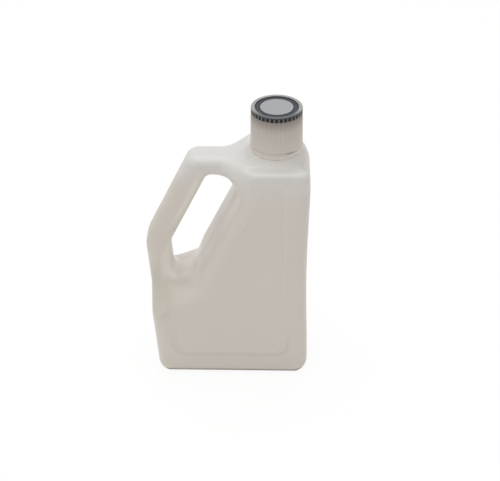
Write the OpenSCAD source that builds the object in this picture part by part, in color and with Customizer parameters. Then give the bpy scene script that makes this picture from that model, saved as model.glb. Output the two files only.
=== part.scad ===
// Flat-sided blown oil bottle with a hollow side handle, an offset neck and a tall ribbed screw cap.
// It stands on its base with the handle to the left, the neck to the right and the label face to the front.

/* [Body] */
// overall width, from the outer bend of the handle to the plain side
body_width = 162; // [156:1:170]
// overall depth, front to back
body_depth = 90; // [84:1:100]
// height of the flat shoulder above the table
shoulder_height = 238; // [232:1:248]
// thickness of the blown wall
wall = 1.8; // [1.2:0.1:2.4]
// how far the plain side bows inwards at mid height
side_bow = 2.2; // [0:0.1:3]
// lean of the side below the handle, in degrees
lower_side_lean = 4.4; // [3:0.1:6]
// depth of the hollow moulded under the base
base_hollow = 2; // [0.5:0.1:3]
// width of the foot ring left around that hollow
foot_width = 9; // [7:0.5:13]

/* [Edges] */
// outline radius where the shoulder turns down the plain side
shoulder_corner = 27; // [22:1:28]
// outline radius at the two ends of the base
base_corner = 11; // [9:1:14]
// radius of the upright front and back edges
upright_edge = 18; // [14:1:21]
// height over which the front rolls under to the base
heel_height = 22; // [16:1:26]
// how far the heel rolls in
heel_depth = 8; // [6:0.5:11]
// how far the shoulder edge reaches in from the front face
shoulder_edge_depth = 11; // [8:1:14]

/* [Handle] */
// width of the handle grip, seen from the front
handle_width = 24.4; // [22.4:0.2:26]
// depth of the handle grip, front to back
handle_depth = 34; // [30:1:40]
// thickness of the handle where it runs along the shoulder
handle_bridge = 20.5; // [19:0.5:24]
// lean of the grip away from upright, in degrees
handle_slant = 26; // [23:0.5:29]
// height of the outermost bend of the handle
handle_bend_height = 134; // [128:1:140]
// radius of that bend
handle_bend_radius = 47; // [40:1:54]
// outline radius at the top corner of the handle
handle_top_corner = 11; // [8:1:14]

/* [Finger gap] */
// clear width of the finger gap, square to the grip
finger_gap = 35; // [32:0.5:37]
// height of the floor of the gap at its middle
gap_floor_height = 98; // [95:1:104]
// tilt of that floor, in degrees
gap_floor_tilt = 16; // [10:1:22]
// gap radius beside the grip at the top
gap_top_grip_radius = 9; // [7:0.5:12]
// gap radius beside the body at the top
gap_top_body_radius = 15; // [12:0.5:17]
// gap radius beside the body at the floor
gap_floor_body_radius = 10; // [8:0.5:14]
// gap radius beside the grip at the floor
gap_floor_grip_radius = 8; // [6:0.5:10]
// how far the body face rolls in beside the gap, seen from the front
flank_edge = 14; // [10:1:17]
// how deep that roll goes
flank_edge_depth = 20; // [14:1:24]
// length over which the shoulder widens from handle to full depth
shoulder_fade = 32; // [26:1:38]
// length over which the foot of the handle widens to full depth
root_fade = 27; // [22:1:32]

/* [Label panel] */
// depth of the flat label panel below the face around it
panel_recess = 0.7; // [0.2:0.1:1.2]
// plain margin between the rolled edges and the panel
panel_margin = 4; // [2:0.5:6]
// the same margin above the heel
panel_foot_margin = 8; // [4:0.5:10]
// the same margin beside the lower side
panel_left_margin = 11; // [5:0.5:13]
// width of the sloping edge of the panel
panel_step = 1.6; // [1:0.2:3]

/* [Neck] */
// distance of the neck axis from the plain side
neck_inset = 33; // [31:0.5:36]
// outer radius of the neck
neck_radius = 20.4; // [19.5:0.1:20.8]
// radius of the mouth
mouth_radius = 17.8; // [15:0.1:18.2]
// height of the dome that carries the neck above the shoulder
foot_rise = 5.4; // [4:0.2:7]
// radius at which that dome leaves the shoulder
foot_radius = 33; // [31:0.5:36]
// height of the lip above the top of the dome
lip_rise = 30.8; // [28:0.2:33]
// radius of the bead that holds the tamper band down
bead_radius = 21.6; // [21.3:0.1:21.7]
// height of the bead
bead_height = 3; // [2:0.2:4]
// chamfer at the lip
lip_chamfer = 0.9; // [0.4:0.1:1.4]

/* [Tamper band] */
// height of the band left on the neck
band_height = 5.4; // [4:0.2:6]
// gap between the band and the skirt of the cap
band_gap = 0.4; // [0.3:0.1:1]
// wall of the band
band_wall = 3.9; // [3.2:0.1:4]

/* [Cap] */
// outer radius at the lower edge of the skirt
cap_radius = 24.9; // [24.6:0.1:25.5]
// how much smaller the radius is at the top of the skirt
cap_taper = 0.55; // [0.2:0.05:0.8]
// height of the ribbed skirt
skirt_height = 36.6; // [35:0.2:38]
// inner radius of the skirt
skirt_bore = 22.1; // [22:0.1:22.3]
// number of ribs
ribs = 36; // [24:1:42]
// depth of the grooves between the ribs
groove_depth = 0.4; // [0.2:0.1:0.6]
// radius of the grooves
groove_radius = 1.4; // [1.2:0.1:1.6]
// thickness of the deck that presses on the liner
deck_thickness = 2.2; // [1.6:0.2:3]
// radius of the open well above the deck
well_radius = 21.2; // [21:0.1:21.4]

/* [Cap cover] */
// thickness of the flange that lies on the skirt
cover_thickness = 1.2; // [1:0.1:1.8]
// how far the plate of the cover sinks into the well
cover_drop = 2.4; // [2:0.1:3]
// height of the keys that hang into the skirt
key_height = 3.3; // [2.6:0.1:4]
// share of the rib spacing that a key takes
key_share = 0.64; // [0.4:0.02:0.66]
// how far the keys reach in from the outside
key_depth = 1.5; // [1:0.1:2]
// play around the keys and the plug
play = 0.15; // [0.1:0.05:0.25]
// wall of the plug ring that snaps into the well
plug_wall = 1.4; // [1:0.1:2]
// height of the plug ring below the plate
plug_height = 2; // [1.4:0.2:2.6]
// share of the cover radius where the raised rim ends
rim_share = 0.854; // [0.8:0.01:0.9]
// share of the cover radius where the centre disc ends
disc_share = 0.65; // [0.55:0.01:0.72]
// depth of the ring groove in the cover
ring_depth = 1; // [0.6:0.1:1.6]
// depth of the pocket that holds the centre disc
pocket_depth = 1.8; // [1.4:0.1:2]
// how far the centre disc stays below the rim
disc_drop = 0.3; // [0:0.1:0.6]
// rounding of the rim
rim_round = 0.6; // [0.3:0.1:0.9]

/* [Liner] */
// thickness of the sealing liner
liner_thickness = 1.8; // [1.2:0.1:2.4]
// how far the liner stays inside the neck wall
liner_inset = 0.3; // [0.1:0.1:0.6]

/* [Hidden] */
// overrun of cuts past a face
overrun = 1;
// smallest radius of an inner edge line
least_radius = 2;
// least share of squareness between a section and the outline
least_square = 0.4;
// margin of the flat top of the dome around the cap
pad_margin = 0.3;
$fn = 96;

half_width = body_width / 2;
half_depth = body_depth / 2;
half_handle = handle_depth / 2;
neck_offset = half_width - neck_inset;
foot_top = shoulder_height + foot_rise;
lip_height = foot_top + lip_rise;
skirt_bottom = foot_top + band_height + band_gap;
skirt_top = skirt_bottom + skirt_height;
cap_top_radius = cap_radius - cap_taper;
deck_bottom = lip_height + liner_thickness;

// shares of the grip and of the bridge that its rounded edges take
grip_edge_share = 0.37;
bridge_under_share = 0.45;
bridge_over_share = 0.36;
lower_edge_share = 0.46;
round_depth_share = 0.8;
growth_share = 0.7;
rise_share = 0.6;
grip_edge = handle_width * grip_edge_share;
bridge_under = handle_bridge * bridge_under_share;
bridge_over = handle_bridge * bridge_over_share;
lower_edge = handle_width * lower_edge_share;

// sides of the outline as outward angle and distance: grip, shoulder, plain side, base, lower side
grip_angle = 180 - handle_slant;
lower_angle = -180 + lower_side_lean;
bend_centre = [handle_bend_radius - half_width, handle_bend_height];
function along(p, a) = p[0] * cos(a) + p[1] * sin(a);
grip_reach = along(bend_centre, grip_angle) + handle_bend_radius;
lower_reach = along(bend_centre, lower_angle) + handle_bend_radius;
OUTER_SIDES = [
    [grip_angle, grip_reach],
    [90, shoulder_height],
    [0, half_width],
    [-90, 0],
    [lower_angle, lower_reach]
];
OUTER_CORNERS = [handle_top_corner, shoulder_corner, base_corner, base_corner, handle_bend_radius];
OUTER_EDGES = [grip_edge, bridge_over, upright_edge, heel_height, lower_edge];
OUTER_EDGE_DEPTHS = [upright_edge, shoulder_edge_depth, upright_edge, heel_depth, upright_edge];
PANEL_MARGINS = [panel_margin, panel_margin, panel_margin, panel_foot_margin, panel_left_margin];

// sides of the finger gap: grip, bridge, body flank, floor, lower grip
gap_grip = grip_reach - handle_width;
gap_flank = finger_gap - gap_grip;
flank_angle = -handle_slant;
floor_angle = gap_floor_tilt - 90;
gap_middle = finger_gap / 2 - gap_grip;
floor_point = [(gap_middle - gap_floor_height * sin(flank_angle)) / cos(flank_angle), gap_floor_height];
GAP_SIDES = [
    [grip_angle, gap_grip],
    [90, shoulder_height - handle_bridge],
    [flank_angle, gap_flank],
    [floor_angle, along(floor_point, floor_angle)],
    [lower_angle, lower_reach - handle_width]
];
GAP_CORNERS = [
    gap_top_grip_radius, gap_top_body_radius, gap_floor_body_radius, gap_floor_grip_radius,
    handle_bend_radius - handle_width
];
GAP_EDGES = [grip_edge, bridge_under, flank_edge, grip_edge, grip_edge];

// rounded outlines
function unit(a) = [cos(a), sin(a)];
function meet(a, b) =
    let (d = sin(b[0] - a[0]))
    [(a[1] * sin(b[0]) - b[1] * sin(a[0])) / d, (b[1] * cos(a[0]) - a[1] * cos(b[0])) / d];
function moved(sides, steps) = [for (i = [0:len(sides) - 1]) [sides[i][0], sides[i][1] - steps[i]]];
function eased(corners, steps) = [
    for (i = [0:len(corners) - 1])
        max(corners[i] - min(steps[i], steps[(i + 1) % len(steps)]), least_radius)
];
function grown(corners, steps) = [
    for (i = [0:len(corners) - 1]) corners[i] + growth_share * min(steps[i], steps[(i + 1) % len(steps)])
];
function centres(sides, corners) = [
    for (i = [0:len(sides) - 1])
        let (a = sides[i], b = sides[(i + 1) % len(sides)])
        meet([a[0], a[1] - corners[i]], [b[0], b[1] - corners[i]])
];
function turned(a, b) = b < a ? b : b - 360;
function curve(sides, corners) = [sides, corners, centres(sides, corners)];

// point of a rounded outline: even numbers start a side, odd numbers start the corner after it
function curve_point(c, p) =
    let (
        n = len(c[0]),
        k = floor(p),
        f = p - k,
        i = floor(k / 2) % n,
        b = (i + n - 1) % n,
        a = c[0][i][0],
        from = c[2][b] + c[1][b] * unit(a),
        to = c[2][i] + c[1][i] * unit(a)
    )
    k % 2 == 0
    ? from + (to - from) * f
    : c[2][i] + c[1][i] * unit(a + f * (turned(a, c[0][(i + 1) % n][0]) - a));

// value that changes over the corners and holds along the sides
function side_value(list, p) =
    let (k = floor(p), f = p - k, i = floor(k / 2) % len(list))
    k % 2 == 0 ? list[i] : list[i] + (list[(i + 1) % len(list)] - list[i]) * f;

// stations around the gap: place on the outline, place on the gap, steps to the next
MATCH = [
    [0, 0, 8], [1, 1, 5], [2, 2, 4], [2.4, 3, 11], [2.99, 4, 2], [3, 4.06, 6], [4, 4.2, 12],
    [5, 5, 5], [6, 5.6, 10], [7, 6.7, 6], [8, 7, 14], [8.85, 8, 5], [9, 9, 8], [10, 10, 0]
];
function stations(share) = [
    for (m = [0:len(MATCH) - 2])
        let (n = max(1, round(MATCH[m][2] * share)))
        for (s = [0:n - 1])
            [MATCH[m][0] + (MATCH[m + 1][0] - MATCH[m][0]) * s / n,
             MATCH[m][1] + (MATCH[m + 1][1] - MATCH[m][1]) * s / n]
];

// half depth of the blown form at a place on the front view
GAP_CURVE = curve(GAP_SIDES, GAP_CORNERS);
root_point = curve_point(GAP_CURVE, 6);
root_angle = -60;
root_lead_share = 0.5;
flank_lead_share = 0.96;
blend_share = 0.2;
slope_shares = 1.6;
function half_depth_at(p, skin) =
    let (
        s = (along(p, flank_angle) - gap_flank - slope_shares * skin) / shoulder_fade + flank_lead_share,
        r = (along(p - root_point, root_angle) - slope_shares * skin) / root_fade + root_lead_share,
        t = (s + r + sqrt((s - r) * (s - r) + blend_share * blend_share)) / 2,
        e = min(max(t, 0), 1)
    )
    half_handle + (half_depth - half_handle) * e * e * (3 - 2 * e) - skin;

// slight inward bow of the plain side
function bowed(p) =
    let (e = min(max(p[0] / half_width, 0), 1), s = sin(180 * min(max(p[1] / shoulder_height, 0), 1)))
    [p[0] - side_bow * e * e * s * s, p[1]];

// smooth rise of the shoulder up to the neck
function risen(p) =
    let (
        away = norm([p[0] - neck_offset, p[1]]),
        t = min(max((foot_radius - away) / (foot_radius - cap_radius - pad_margin), 0), 1),
        u = min(max((p[2] - shoulder_height + shoulder_corner) / (shoulder_corner * rise_share), 0), 1),
        s = t * t * (3 - 2 * t) * u * u * (3 - 2 * u)
    )
    [p[0], p[1], p[2] + (foot_top - p[2]) * s];

// one cross section from the edge of the gap over the front to the outline, as x, half depth, z
function section(st, gap, gap_in, out, out_in, skin, turns, rows, flats, recess) =
    let (
        g = curve_point(gap, st[1]),
        gi = curve_point(gap_in, st[1]),
        o = bowed(curve_point(out, st[0])),
        oi = bowed(curve_point(out_in, st[0])),
        ob = side_value(OUTER_EDGE_DEPTHS, st[0]),
        top = half_depth_at(o, skin),
        rim = top - min(ob, round_depth_share * top),
        span = norm(oi - gi),
        square = max((oi - gi) * (o - oi) / span / norm(o - oi), least_square),
        margin = side_value(PANEL_MARGINS, st[0]) / square
    )
    concat(
        [[g[0], 0, g[1]]],
        [for (i = [0:turns])
            let (
                a = 90 * i / turns,
                p = g + (gi - g) * (1 - cos(a)),
                h = half_depth_at(p, skin)
            )
            [p[0], h - min(flank_edge_depth, round_depth_share * h) * (1 - sin(a)), p[1]]],
        [for (f = flats)
            let (
                q = f[0] * span + f[1] * (f[0] < 1 ? panel_margin : margin) + f[2] * panel_step,
                e = min(max(q / span, f[3]), f[4]),
                p = gi + (oi - gi) * e,
                h = half_depth_at(p, skin),
                full = max(0, 1 - (half_depth - skin - h) / panel_margin)
            )
            [p[0], h - recess * f[5] * full, p[1]]],
        [for (i = [turns:-1:0])
            let (
                a = 90 * i / turns,
                p = o + (oi - o) * (1 - cos(a)),
                h = half_depth_at(p, skin)
            )
            [p[0], h - min(ob, round_depth_share * h) * (1 - sin(a)), p[1]]],
        [for (i = [rows - 1:-1:0]) [o[0], rim * i / rows, o[1]]]
    );

// places across the flat of the front: share of the span, margins, steps, limits, panel depth
PANEL_FLATS = [
    [0, 1, 0, 0, 0.2, 0],
    [0, 1, 1, 0, 0.3, 1],
    [0.33, 0, 0, 0.33, 0.33, 1],
    [0.48, 0, 0, 0.48, 0.48, 1],
    [1, -1, -1, 0.52, 1, 1],
    [1, -1, 0, 0.56, 1, 0]
];
PLAIN_FLATS = [[0.33, 0, 0, 0, 1, 0], [0.67, 0, 0, 0, 1, 0]];

// the whole blown form, or the room inside it, as rings of sections around the gap
module blown_form(skin, floor_skin, share, turns, rows, flats, recess) {
    out_steps = [skin, skin, skin, floor_skin, skin];
    gap_steps = [for (g = GAP_SIDES) -skin];
    gap_grow = [for (g = GAP_SIDES) skin];
    out_sides = moved(OUTER_SIDES, out_steps);
    out_corners = eased(OUTER_CORNERS, out_steps);
    gap_sides = moved(GAP_SIDES, gap_steps);
    gap_corners = grown(GAP_CORNERS, gap_grow);
    trim = 1 - 2 * skin / handle_width;
    out_edges = OUTER_EDGES * trim;
    gap_edges = GAP_EDGES * trim;
    out = curve(out_sides, out_corners);
    out_in = curve(moved(out_sides, out_edges), eased(out_corners, out_edges));
    gap = curve(gap_sides, gap_corners);
    gap_in = curve(moved(gap_sides, -gap_edges), grown(gap_corners, gap_edges));
    rings = [
        for (st = stations(share))
            [for (p = section(st, gap, gap_in, out, out_in, skin, turns, rows, flats, recess)) skin > 0 ? p : risen(p)]
    ];
    m = len(rings);
    n = len(rings[0]);
    r = 2 * n - 2;
    points = [
        for (ring = rings)
            for (j = [0:r - 1])
                j < n ? [ring[j][0], -ring[j][1], ring[j][2]] : [ring[r - j][0], ring[r - j][1], ring[r - j][2]]
    ];
    faces = [
        for (i = [0:m - 1])
            for (j = [0:r - 1])
                let (i2 = (i + 1) % m, j2 = (j + 1) % r)
                for (k = [0, 1])
                    k == 0 ? [i * r + j, i * r + j2, i2 * r + j2] : [i * r + j, i2 * r + j2, i2 * r + j]
    ];
    polyhedron(points, faces, convexity = 8);
}

// flat plate with round corners, for the hollow under the base
module round_plate(w, d, r) {
    square([w, d - 2 * r], center = true);
    square([w - 2 * r, d], center = true);
    for (x = [-1, 1])
        for (y = [-1, 1])
            translate([x * (w / 2 - r), y * (d / 2 - r)])
                circle(r);
}

module bottle() {
    base_left = meet(OUTER_SIDES[3], OUTER_SIDES[4])[0] + base_corner;
    base_right = half_width - base_corner;
    hollow_width = base_right - base_left - 2 * foot_width;
    hollow_depth = body_depth - 2 * heel_depth - 2 * foot_width;
    bead_bottom = foot_top + band_height;
    foot_bottom = shoulder_height - wall / 2;
    color([0.90, 0.89, 0.86])
    difference() {
        union() {
            blown_form(0, 0, 1, 4, 5, PANEL_FLATS, panel_recess);
            translate([neck_offset, 0, 0])
                rotate_extrude()
                    polygon([
                        [0, foot_bottom],
                        [cap_radius, foot_bottom],
                        [cap_radius, foot_top],
                        [neck_radius, foot_top],
                        [neck_radius, bead_bottom],
                        [bead_radius, bead_bottom + bead_height / 4],
                        [bead_radius, bead_bottom + bead_height / 2],
                        [neck_radius, bead_bottom + bead_height],
                        [neck_radius, lip_height - lip_chamfer],
                        [neck_radius - lip_chamfer, lip_height],
                        [0, lip_height]
                    ]);
        }
        blown_form(wall, wall + base_hollow, 0.55, 3, 1, PLAIN_FLATS, 0);
        translate([neck_offset, 0, shoulder_height - 2 * wall])
            cylinder(r = mouth_radius, h = lip_height - shoulder_height + 2 * wall + overrun);
        translate([(base_left + base_right) / 2, 0, -overrun])
            linear_extrude(overrun + base_hollow)
                round_plate(hollow_width, hollow_depth, foot_width);
    }
}

module tamper_band() {
    color([0.86, 0.85, 0.82])
    translate([neck_offset, 0, foot_top])
        difference() {
            cylinder(r = cap_radius, h = band_height);
            translate([0, 0, -overrun])
                cylinder(r = cap_radius - band_wall, h = band_height + 2 * overrun);
        }
}

module skirt_grooves() {
    tilt = atan(cap_taper / skirt_height);
    for (i = [0:ribs - 1])
        rotate(360 * i / ribs)
            translate([cap_radius + groove_radius - groove_depth, 0, 0])
                rotate([0, -tilt, 0])
                    translate([0, 0, -overrun])
                        cylinder(r = groove_radius, h = skirt_height + 2 * overrun, $fn = 24);
}

// keys of the cover, or the slots for them when play is added
module keys(extra, height) {
    width = 2 * PI * cap_top_radius / ribs * key_share + 2 * extra;
    reach = key_depth + extra;
    for (i = [0:ribs - 1])
        rotate(360 * i / ribs)
            translate([cap_top_radius - reach, -width / 2, 0])
                cube([reach + overrun, width, height]);
}

module cap_shell() {
    color([0.80, 0.79, 0.76])
    translate([neck_offset, 0, skirt_bottom])
        difference() {
            cylinder(r1 = cap_radius, r2 = cap_top_radius, h = skirt_height);
            translate([0, 0, -overrun])
                cylinder(r = skirt_bore, h = deck_bottom - skirt_bottom + overrun);
            translate([0, 0, deck_bottom - skirt_bottom + deck_thickness])
                cylinder(r = well_radius, h = skirt_height);
            skirt_grooves();
            translate([0, 0, skirt_height - key_height - play])
                keys(play, key_height + play + overrun);
        }
}

module cap_cover() {
    rim_radius = cap_top_radius * rim_share;
    disc_radius = cap_top_radius * disc_share;
    color([0.42, 0.45, 0.48])
    translate([neck_offset, 0, skirt_top])
        union() {
            difference() {
                rotate_extrude()
                    polygon([
                        [0, -cover_drop],
                        [well_radius - play, -cover_drop],
                        [well_radius - play, 0],
                        [cap_top_radius, 0],
                        [cap_top_radius, cover_thickness - rim_round],
                        [cap_top_radius - rim_round, cover_thickness],
                        [0, cover_thickness]
                    ]);
                translate([0, 0, cover_thickness - ring_depth])
                    difference() {
                        cylinder(r = rim_radius, h = ring_depth + overrun);
                        translate([0, 0, -overrun])
                            cylinder(r = disc_radius, h = ring_depth + 3 * overrun);
                    }
                translate([0, 0, cover_thickness - pocket_depth])
                    cylinder(r = disc_radius, h = pocket_depth + overrun);
            }
            translate([0, 0, -cover_drop - plug_height])
                difference() {
                    cylinder(r = well_radius - play, h = plug_height);
                    translate([0, 0, -overrun])
                        cylinder(r = well_radius - play - plug_wall, h = plug_height + 2 * overrun);
                }
            intersection() {
                translate([0, 0, -key_height])
                    keys(0, key_height + cover_thickness / 2);
                translate([0, 0, -key_height])
                    cylinder(r = cap_top_radius, h = key_height + cover_thickness / 2);
            }
        }
}

module cap_disc() {
    color([0.66, 0.67, 0.68])
    translate([neck_offset, 0, skirt_top + cover_thickness - pocket_depth])
        cylinder(r = cap_top_radius * disc_share - play, h = pocket_depth - disc_drop);
}

module seal_liner() {
    color([0.93, 0.93, 0.92])
    translate([neck_offset, 0, lip_height])
        cylinder(r = neck_radius - liner_inset, h = liner_thickness);
}

bottle();
tamper_band();
cap_shell();
cap_cover();
cap_disc();
seal_liner();
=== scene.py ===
"""Looks of a milky blown oil bottle with a hollow side handle and a tall ribbed screw cap.

Lengths are in millimetres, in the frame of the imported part; a mesh is written in metres.
"""

import logging
import math
from dataclasses import dataclass
from enum import Enum
from functools import cache, partial, reduce

import bpy
import numpy as np
from mathutils import Matrix, Vector


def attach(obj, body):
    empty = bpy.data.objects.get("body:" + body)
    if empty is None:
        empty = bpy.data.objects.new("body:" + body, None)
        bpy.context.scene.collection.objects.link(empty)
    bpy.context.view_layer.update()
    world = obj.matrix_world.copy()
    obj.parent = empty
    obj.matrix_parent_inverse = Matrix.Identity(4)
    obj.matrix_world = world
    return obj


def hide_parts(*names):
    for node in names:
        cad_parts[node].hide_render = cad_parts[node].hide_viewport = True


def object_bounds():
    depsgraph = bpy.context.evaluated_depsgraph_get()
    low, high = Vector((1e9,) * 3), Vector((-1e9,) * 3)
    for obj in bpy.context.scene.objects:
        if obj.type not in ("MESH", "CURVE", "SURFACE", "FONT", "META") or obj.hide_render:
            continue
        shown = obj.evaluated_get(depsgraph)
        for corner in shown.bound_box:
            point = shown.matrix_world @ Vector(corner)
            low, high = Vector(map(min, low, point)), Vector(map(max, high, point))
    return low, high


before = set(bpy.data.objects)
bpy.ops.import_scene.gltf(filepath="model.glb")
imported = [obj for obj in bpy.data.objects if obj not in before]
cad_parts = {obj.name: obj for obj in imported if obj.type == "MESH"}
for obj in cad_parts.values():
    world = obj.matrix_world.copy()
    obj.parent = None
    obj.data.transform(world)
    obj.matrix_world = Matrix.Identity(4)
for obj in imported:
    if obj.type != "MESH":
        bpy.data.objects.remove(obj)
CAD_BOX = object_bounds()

LOG = logging.getLogger("oil_bottle")
MM = 0.001
PHOTO_WIDTH = 500
SHARP_DEGREES = 40.0
FULL_TURN = 2.0 * math.pi
Colour = tuple[float, float, float]
Pair = tuple[float, float]
Socket = bpy.types.NodeSocket
# A ramp is a measure, its values without and with effect and, if they aren't 0 and 1, the two levels.
Patch = tuple[tuple, ...]


class Body(Enum):
    """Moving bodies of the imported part."""

    BOTTLE = "bottle"
    LINER = "liner"
    CAP = "cap"


class Slot(Enum):
    """Material slots of the record."""

    SHELL = "natural_hdpe"
    CLOSURE = "natural_pp"
    COVER = "slate_plastic"
    DISC = "pale_grey_plastic"
    WAD = "liner_foam"


def ease(t: np.ndarray) -> np.ndarray:
    """Smooth step of t from 0 to 1: t squared times (3 - 2 t), held outside."""
    t = np.clip(t, 0.0, 1.0)
    return t * t * (3.0 - 2.0 * t)


def unit(degrees: np.ndarray) -> np.ndarray:
    """Unit vectors in the front view at these angles."""
    a = np.radians(degrees)
    return np.stack([np.cos(a), np.sin(a)], -1)


def span(start: float, end: float, steps: int) -> np.ndarray:
    """Even places from start up to, but not at, the end."""
    return np.linspace(start, end, steps, endpoint=False)


def quarter(steps: int) -> tuple[np.ndarray, np.ndarray]:
    """Cosines and sines of even angles over a quarter turn."""
    turn = np.linspace(0.0, math.pi / 2.0, steps)
    return np.cos(turn), np.sin(turn)


def linear(red: float, green: float, blue: float) -> Colour:
    """Turns display levels from 0 to 255 into linear colour.

    Args:
        red: Level of red.
        green: Level of green.
        blue: Level of blue.

    Returns:
        The three linear values.
    """
    levels = np.array([red, green, blue]) / 255.0
    values = np.where(levels <= 0.04045, levels / 12.92, ((levels + 0.055) / 1.055) ** 2.4)
    return tuple(float(v) for v in values)


# Meshes


def shade_smooth(obj: bpy.types.Object, degrees: float) -> None:
    """Smooth shading that keeps edges sharper than this angle.

    Args:
        obj: Object to shade.
        degrees: Angle above which an edge stays sharp.
    """
    data = obj.data
    data.polygons.foreach_set("use_smooth", np.ones(len(data.polygons), bool))
    data.set_sharp_from_angle(angle=math.radians(degrees))
    data.update()


def profile(*stretches: tuple) -> tuple[np.ndarray, np.ndarray]:
    """Joins stretches of a turned outline.

    Args:
        stretches: Pairs of radius and height, each a number or an array.

    Returns:
        Radii and heights as two columns.
    """
    pairs = [np.broadcast_arrays(*np.atleast_1d(*pair)) for pair in stretches]
    radius, height = (np.concatenate(side)[:, None] for side in zip(*pairs))
    return radius, height


@dataclass(frozen=True)
class Mesh:
    """Points and faces of a closed surface, in millimetres.

    Attributes:
        points: Array of n by 3.
        quads: Array of faces with four corners.
        fans: Array of faces with three corners.
    """

    points: np.ndarray
    quads: np.ndarray
    fans: np.ndarray

    @staticmethod
    def ring_grid(grid: np.ndarray) -> "Mesh":
        """Closes a grid of m by n points on itself in both directions, with one quad for each grid cell.

        Args:
            grid: Points of m by n by 3.

        Returns:
            The closed mesh.
        """
        m, n = grid.shape[:2]
        i, j = np.meshgrid(np.arange(m), np.arange(n), indexing="ij")
        i2, j2 = (i + 1) % m, (j + 1) % n
        quads = np.stack([i * n + j, i2 * n + j, i2 * n + j2, i * n + j2], -1).reshape(-1, 4)
        return Mesh(grid.reshape(-1, 3), quads, np.zeros((0, 3), int))

    @staticmethod
    def turned(radius: np.ndarray, height: np.ndarray, angle: np.ndarray, axis: float) -> np.ndarray:
        """Points (axis + r cos a, r sin a, z) of radii r and heights z that broadcast with the angles a."""
        r, z, a = np.broadcast_arrays(radius, height, angle)
        return np.stack([axis + r * np.cos(a), r * np.sin(a), z], -1)

    @staticmethod
    def lathe(grid: np.ndarray) -> "Mesh":
        """Closes a turned grid, whose first and last row lie on the axis, with a fan at either pole.

        Args:
            grid: Points of k by n by 3.

        Returns:
            The closed mesh.
        """
        rows, n = grid.shape[0] - 2, grid.shape[1]
        i, j = np.meshgrid(np.arange(rows - 1), np.arange(n), indexing="ij")
        j2 = (j + 1) % n
        quads = np.stack([i * n + j, i * n + j2, (i + 1) * n + j2, (i + 1) * n + j], -1).reshape(-1, 4)
        c = np.arange(n)
        c2 = (c + 1) % n
        first, end = np.full(n, rows * n), (rows - 1) * n
        fans = np.concatenate([np.stack([first, c2, c], -1), np.stack([first + 1, end + c, end + c2], -1)])
        return Mesh(np.concatenate([grid[1:-1].reshape(-1, 3), grid[[0, -1], 0]]), quads, fans)

    def volume(self) -> float:
        """Signed volume: a sixth of the sum of the triple products of the faces' corners."""
        p = self.points
        tris = np.concatenate([self.quads[:, [0, 1, 2]], self.quads[:, [0, 2, 3]], self.fans])
        return float(np.einsum("ij,ij->i", p[tris[:, 0]], np.cross(p[tris[:, 1]], p[tris[:, 2]])).sum() / 6.0)

    def to_object(self, name: str) -> bpy.types.Object:
        """Writes the mesh in metres with its faces outwards, shades it and links an object at the origin.

        Args:
            name: Name of the object and its mesh.

        Returns:
            The object.
        """
        turn = -1 if self.volume() < 0 else 1
        faces = self.quads[:, ::turn].tolist() + self.fans[:, ::turn].tolist()
        data = bpy.data.meshes.new(name)
        data.from_pydata((self.points * MM).tolist(), [], faces)
        obj = bpy.data.objects.new(name, data)
        bpy.context.scene.collection.objects.link(obj)
        shade_smooth(obj, SHARP_DEGREES)
        return obj


def carve(base: bpy.types.Object, steps: list[tuple[str, bpy.types.Object]]) -> None:
    """Joins or cuts closed tools with a closed base and keeps the result as plain mesh.

    Args:
        base: Object that is changed.
        steps: Pairs of operation and tool; the tools are removed afterwards.
    """
    for number, (operation, tool) in enumerate(steps):
        cut = base.modifiers.new(f"step_{number}", "BOOLEAN")
        cut.operation, cut.solver, cut.object = operation, "MANIFOLD", tool
    bpy.context.view_layer.update()
    graph = bpy.context.evaluated_depsgraph_get()
    result = bpy.data.meshes.new_from_object(base.evaluated_get(graph))
    base.modifiers.clear()
    old = base.data
    base.data = result
    result.name = old.name
    bpy.data.meshes.remove(old)
    for _, tool in steps:
        data = tool.data
        bpy.data.objects.remove(tool)
        bpy.data.meshes.remove(data)


def place(obj: bpy.types.Object, material: bpy.types.Material, body: Body, slot: Slot, node: str) -> None:
    """Dresses a piece, lets it ride on its body and stand for its CAD node.

    Args:
        obj: Finished piece.
        material: Its finish.
        body: Body it moves with.
        slot: Slot of the record it takes its finish from; not used.
        node: CAD node it replaces.
    """
    obj.data.materials.clear()
    obj.data.materials.append(material)
    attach(obj, body.value)
    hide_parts(node)
    LOG.info("%s: %d faces, rides on %s", obj.name, len(obj.data.polygons), body.value)


def thread_ridge(height: np.ndarray, angle: np.ndarray, start: float, end: float, shift: float) -> np.ndarray:
    """Right-hand two-start ridge: 1 on the helix z = lead times angle over a turn, eased to 0 off it.

    Args:
        height: Heights of the points.
        angle: Angles of the points in radians.
        start: Height where the ridge begins.
        end: Height where it ends.
        shift: Share of the pitch by which the helix is moved.

    Returns:
        Values from 0 to 1 of the shape that height and angle broadcast to.
    """
    pitch, starts, half_width, flank, fade = 5.0, 2, 1.15, 0.75, 2.0
    phase = height / pitch - starts * angle / FULL_TURN - shift
    away = np.abs(phase - np.round(phase)) * pitch
    ends = ease((height - start) / fade) * ease((end - height) / fade)
    return ease((half_width - away) / flank) * ends


# Finishes


@dataclass(frozen=True)
class Places:
    """Object coordinates in a material: whole in metres, single in millimetres."""

    vector: Socket
    x: Socket
    y: Socket
    z: Socket


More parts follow.
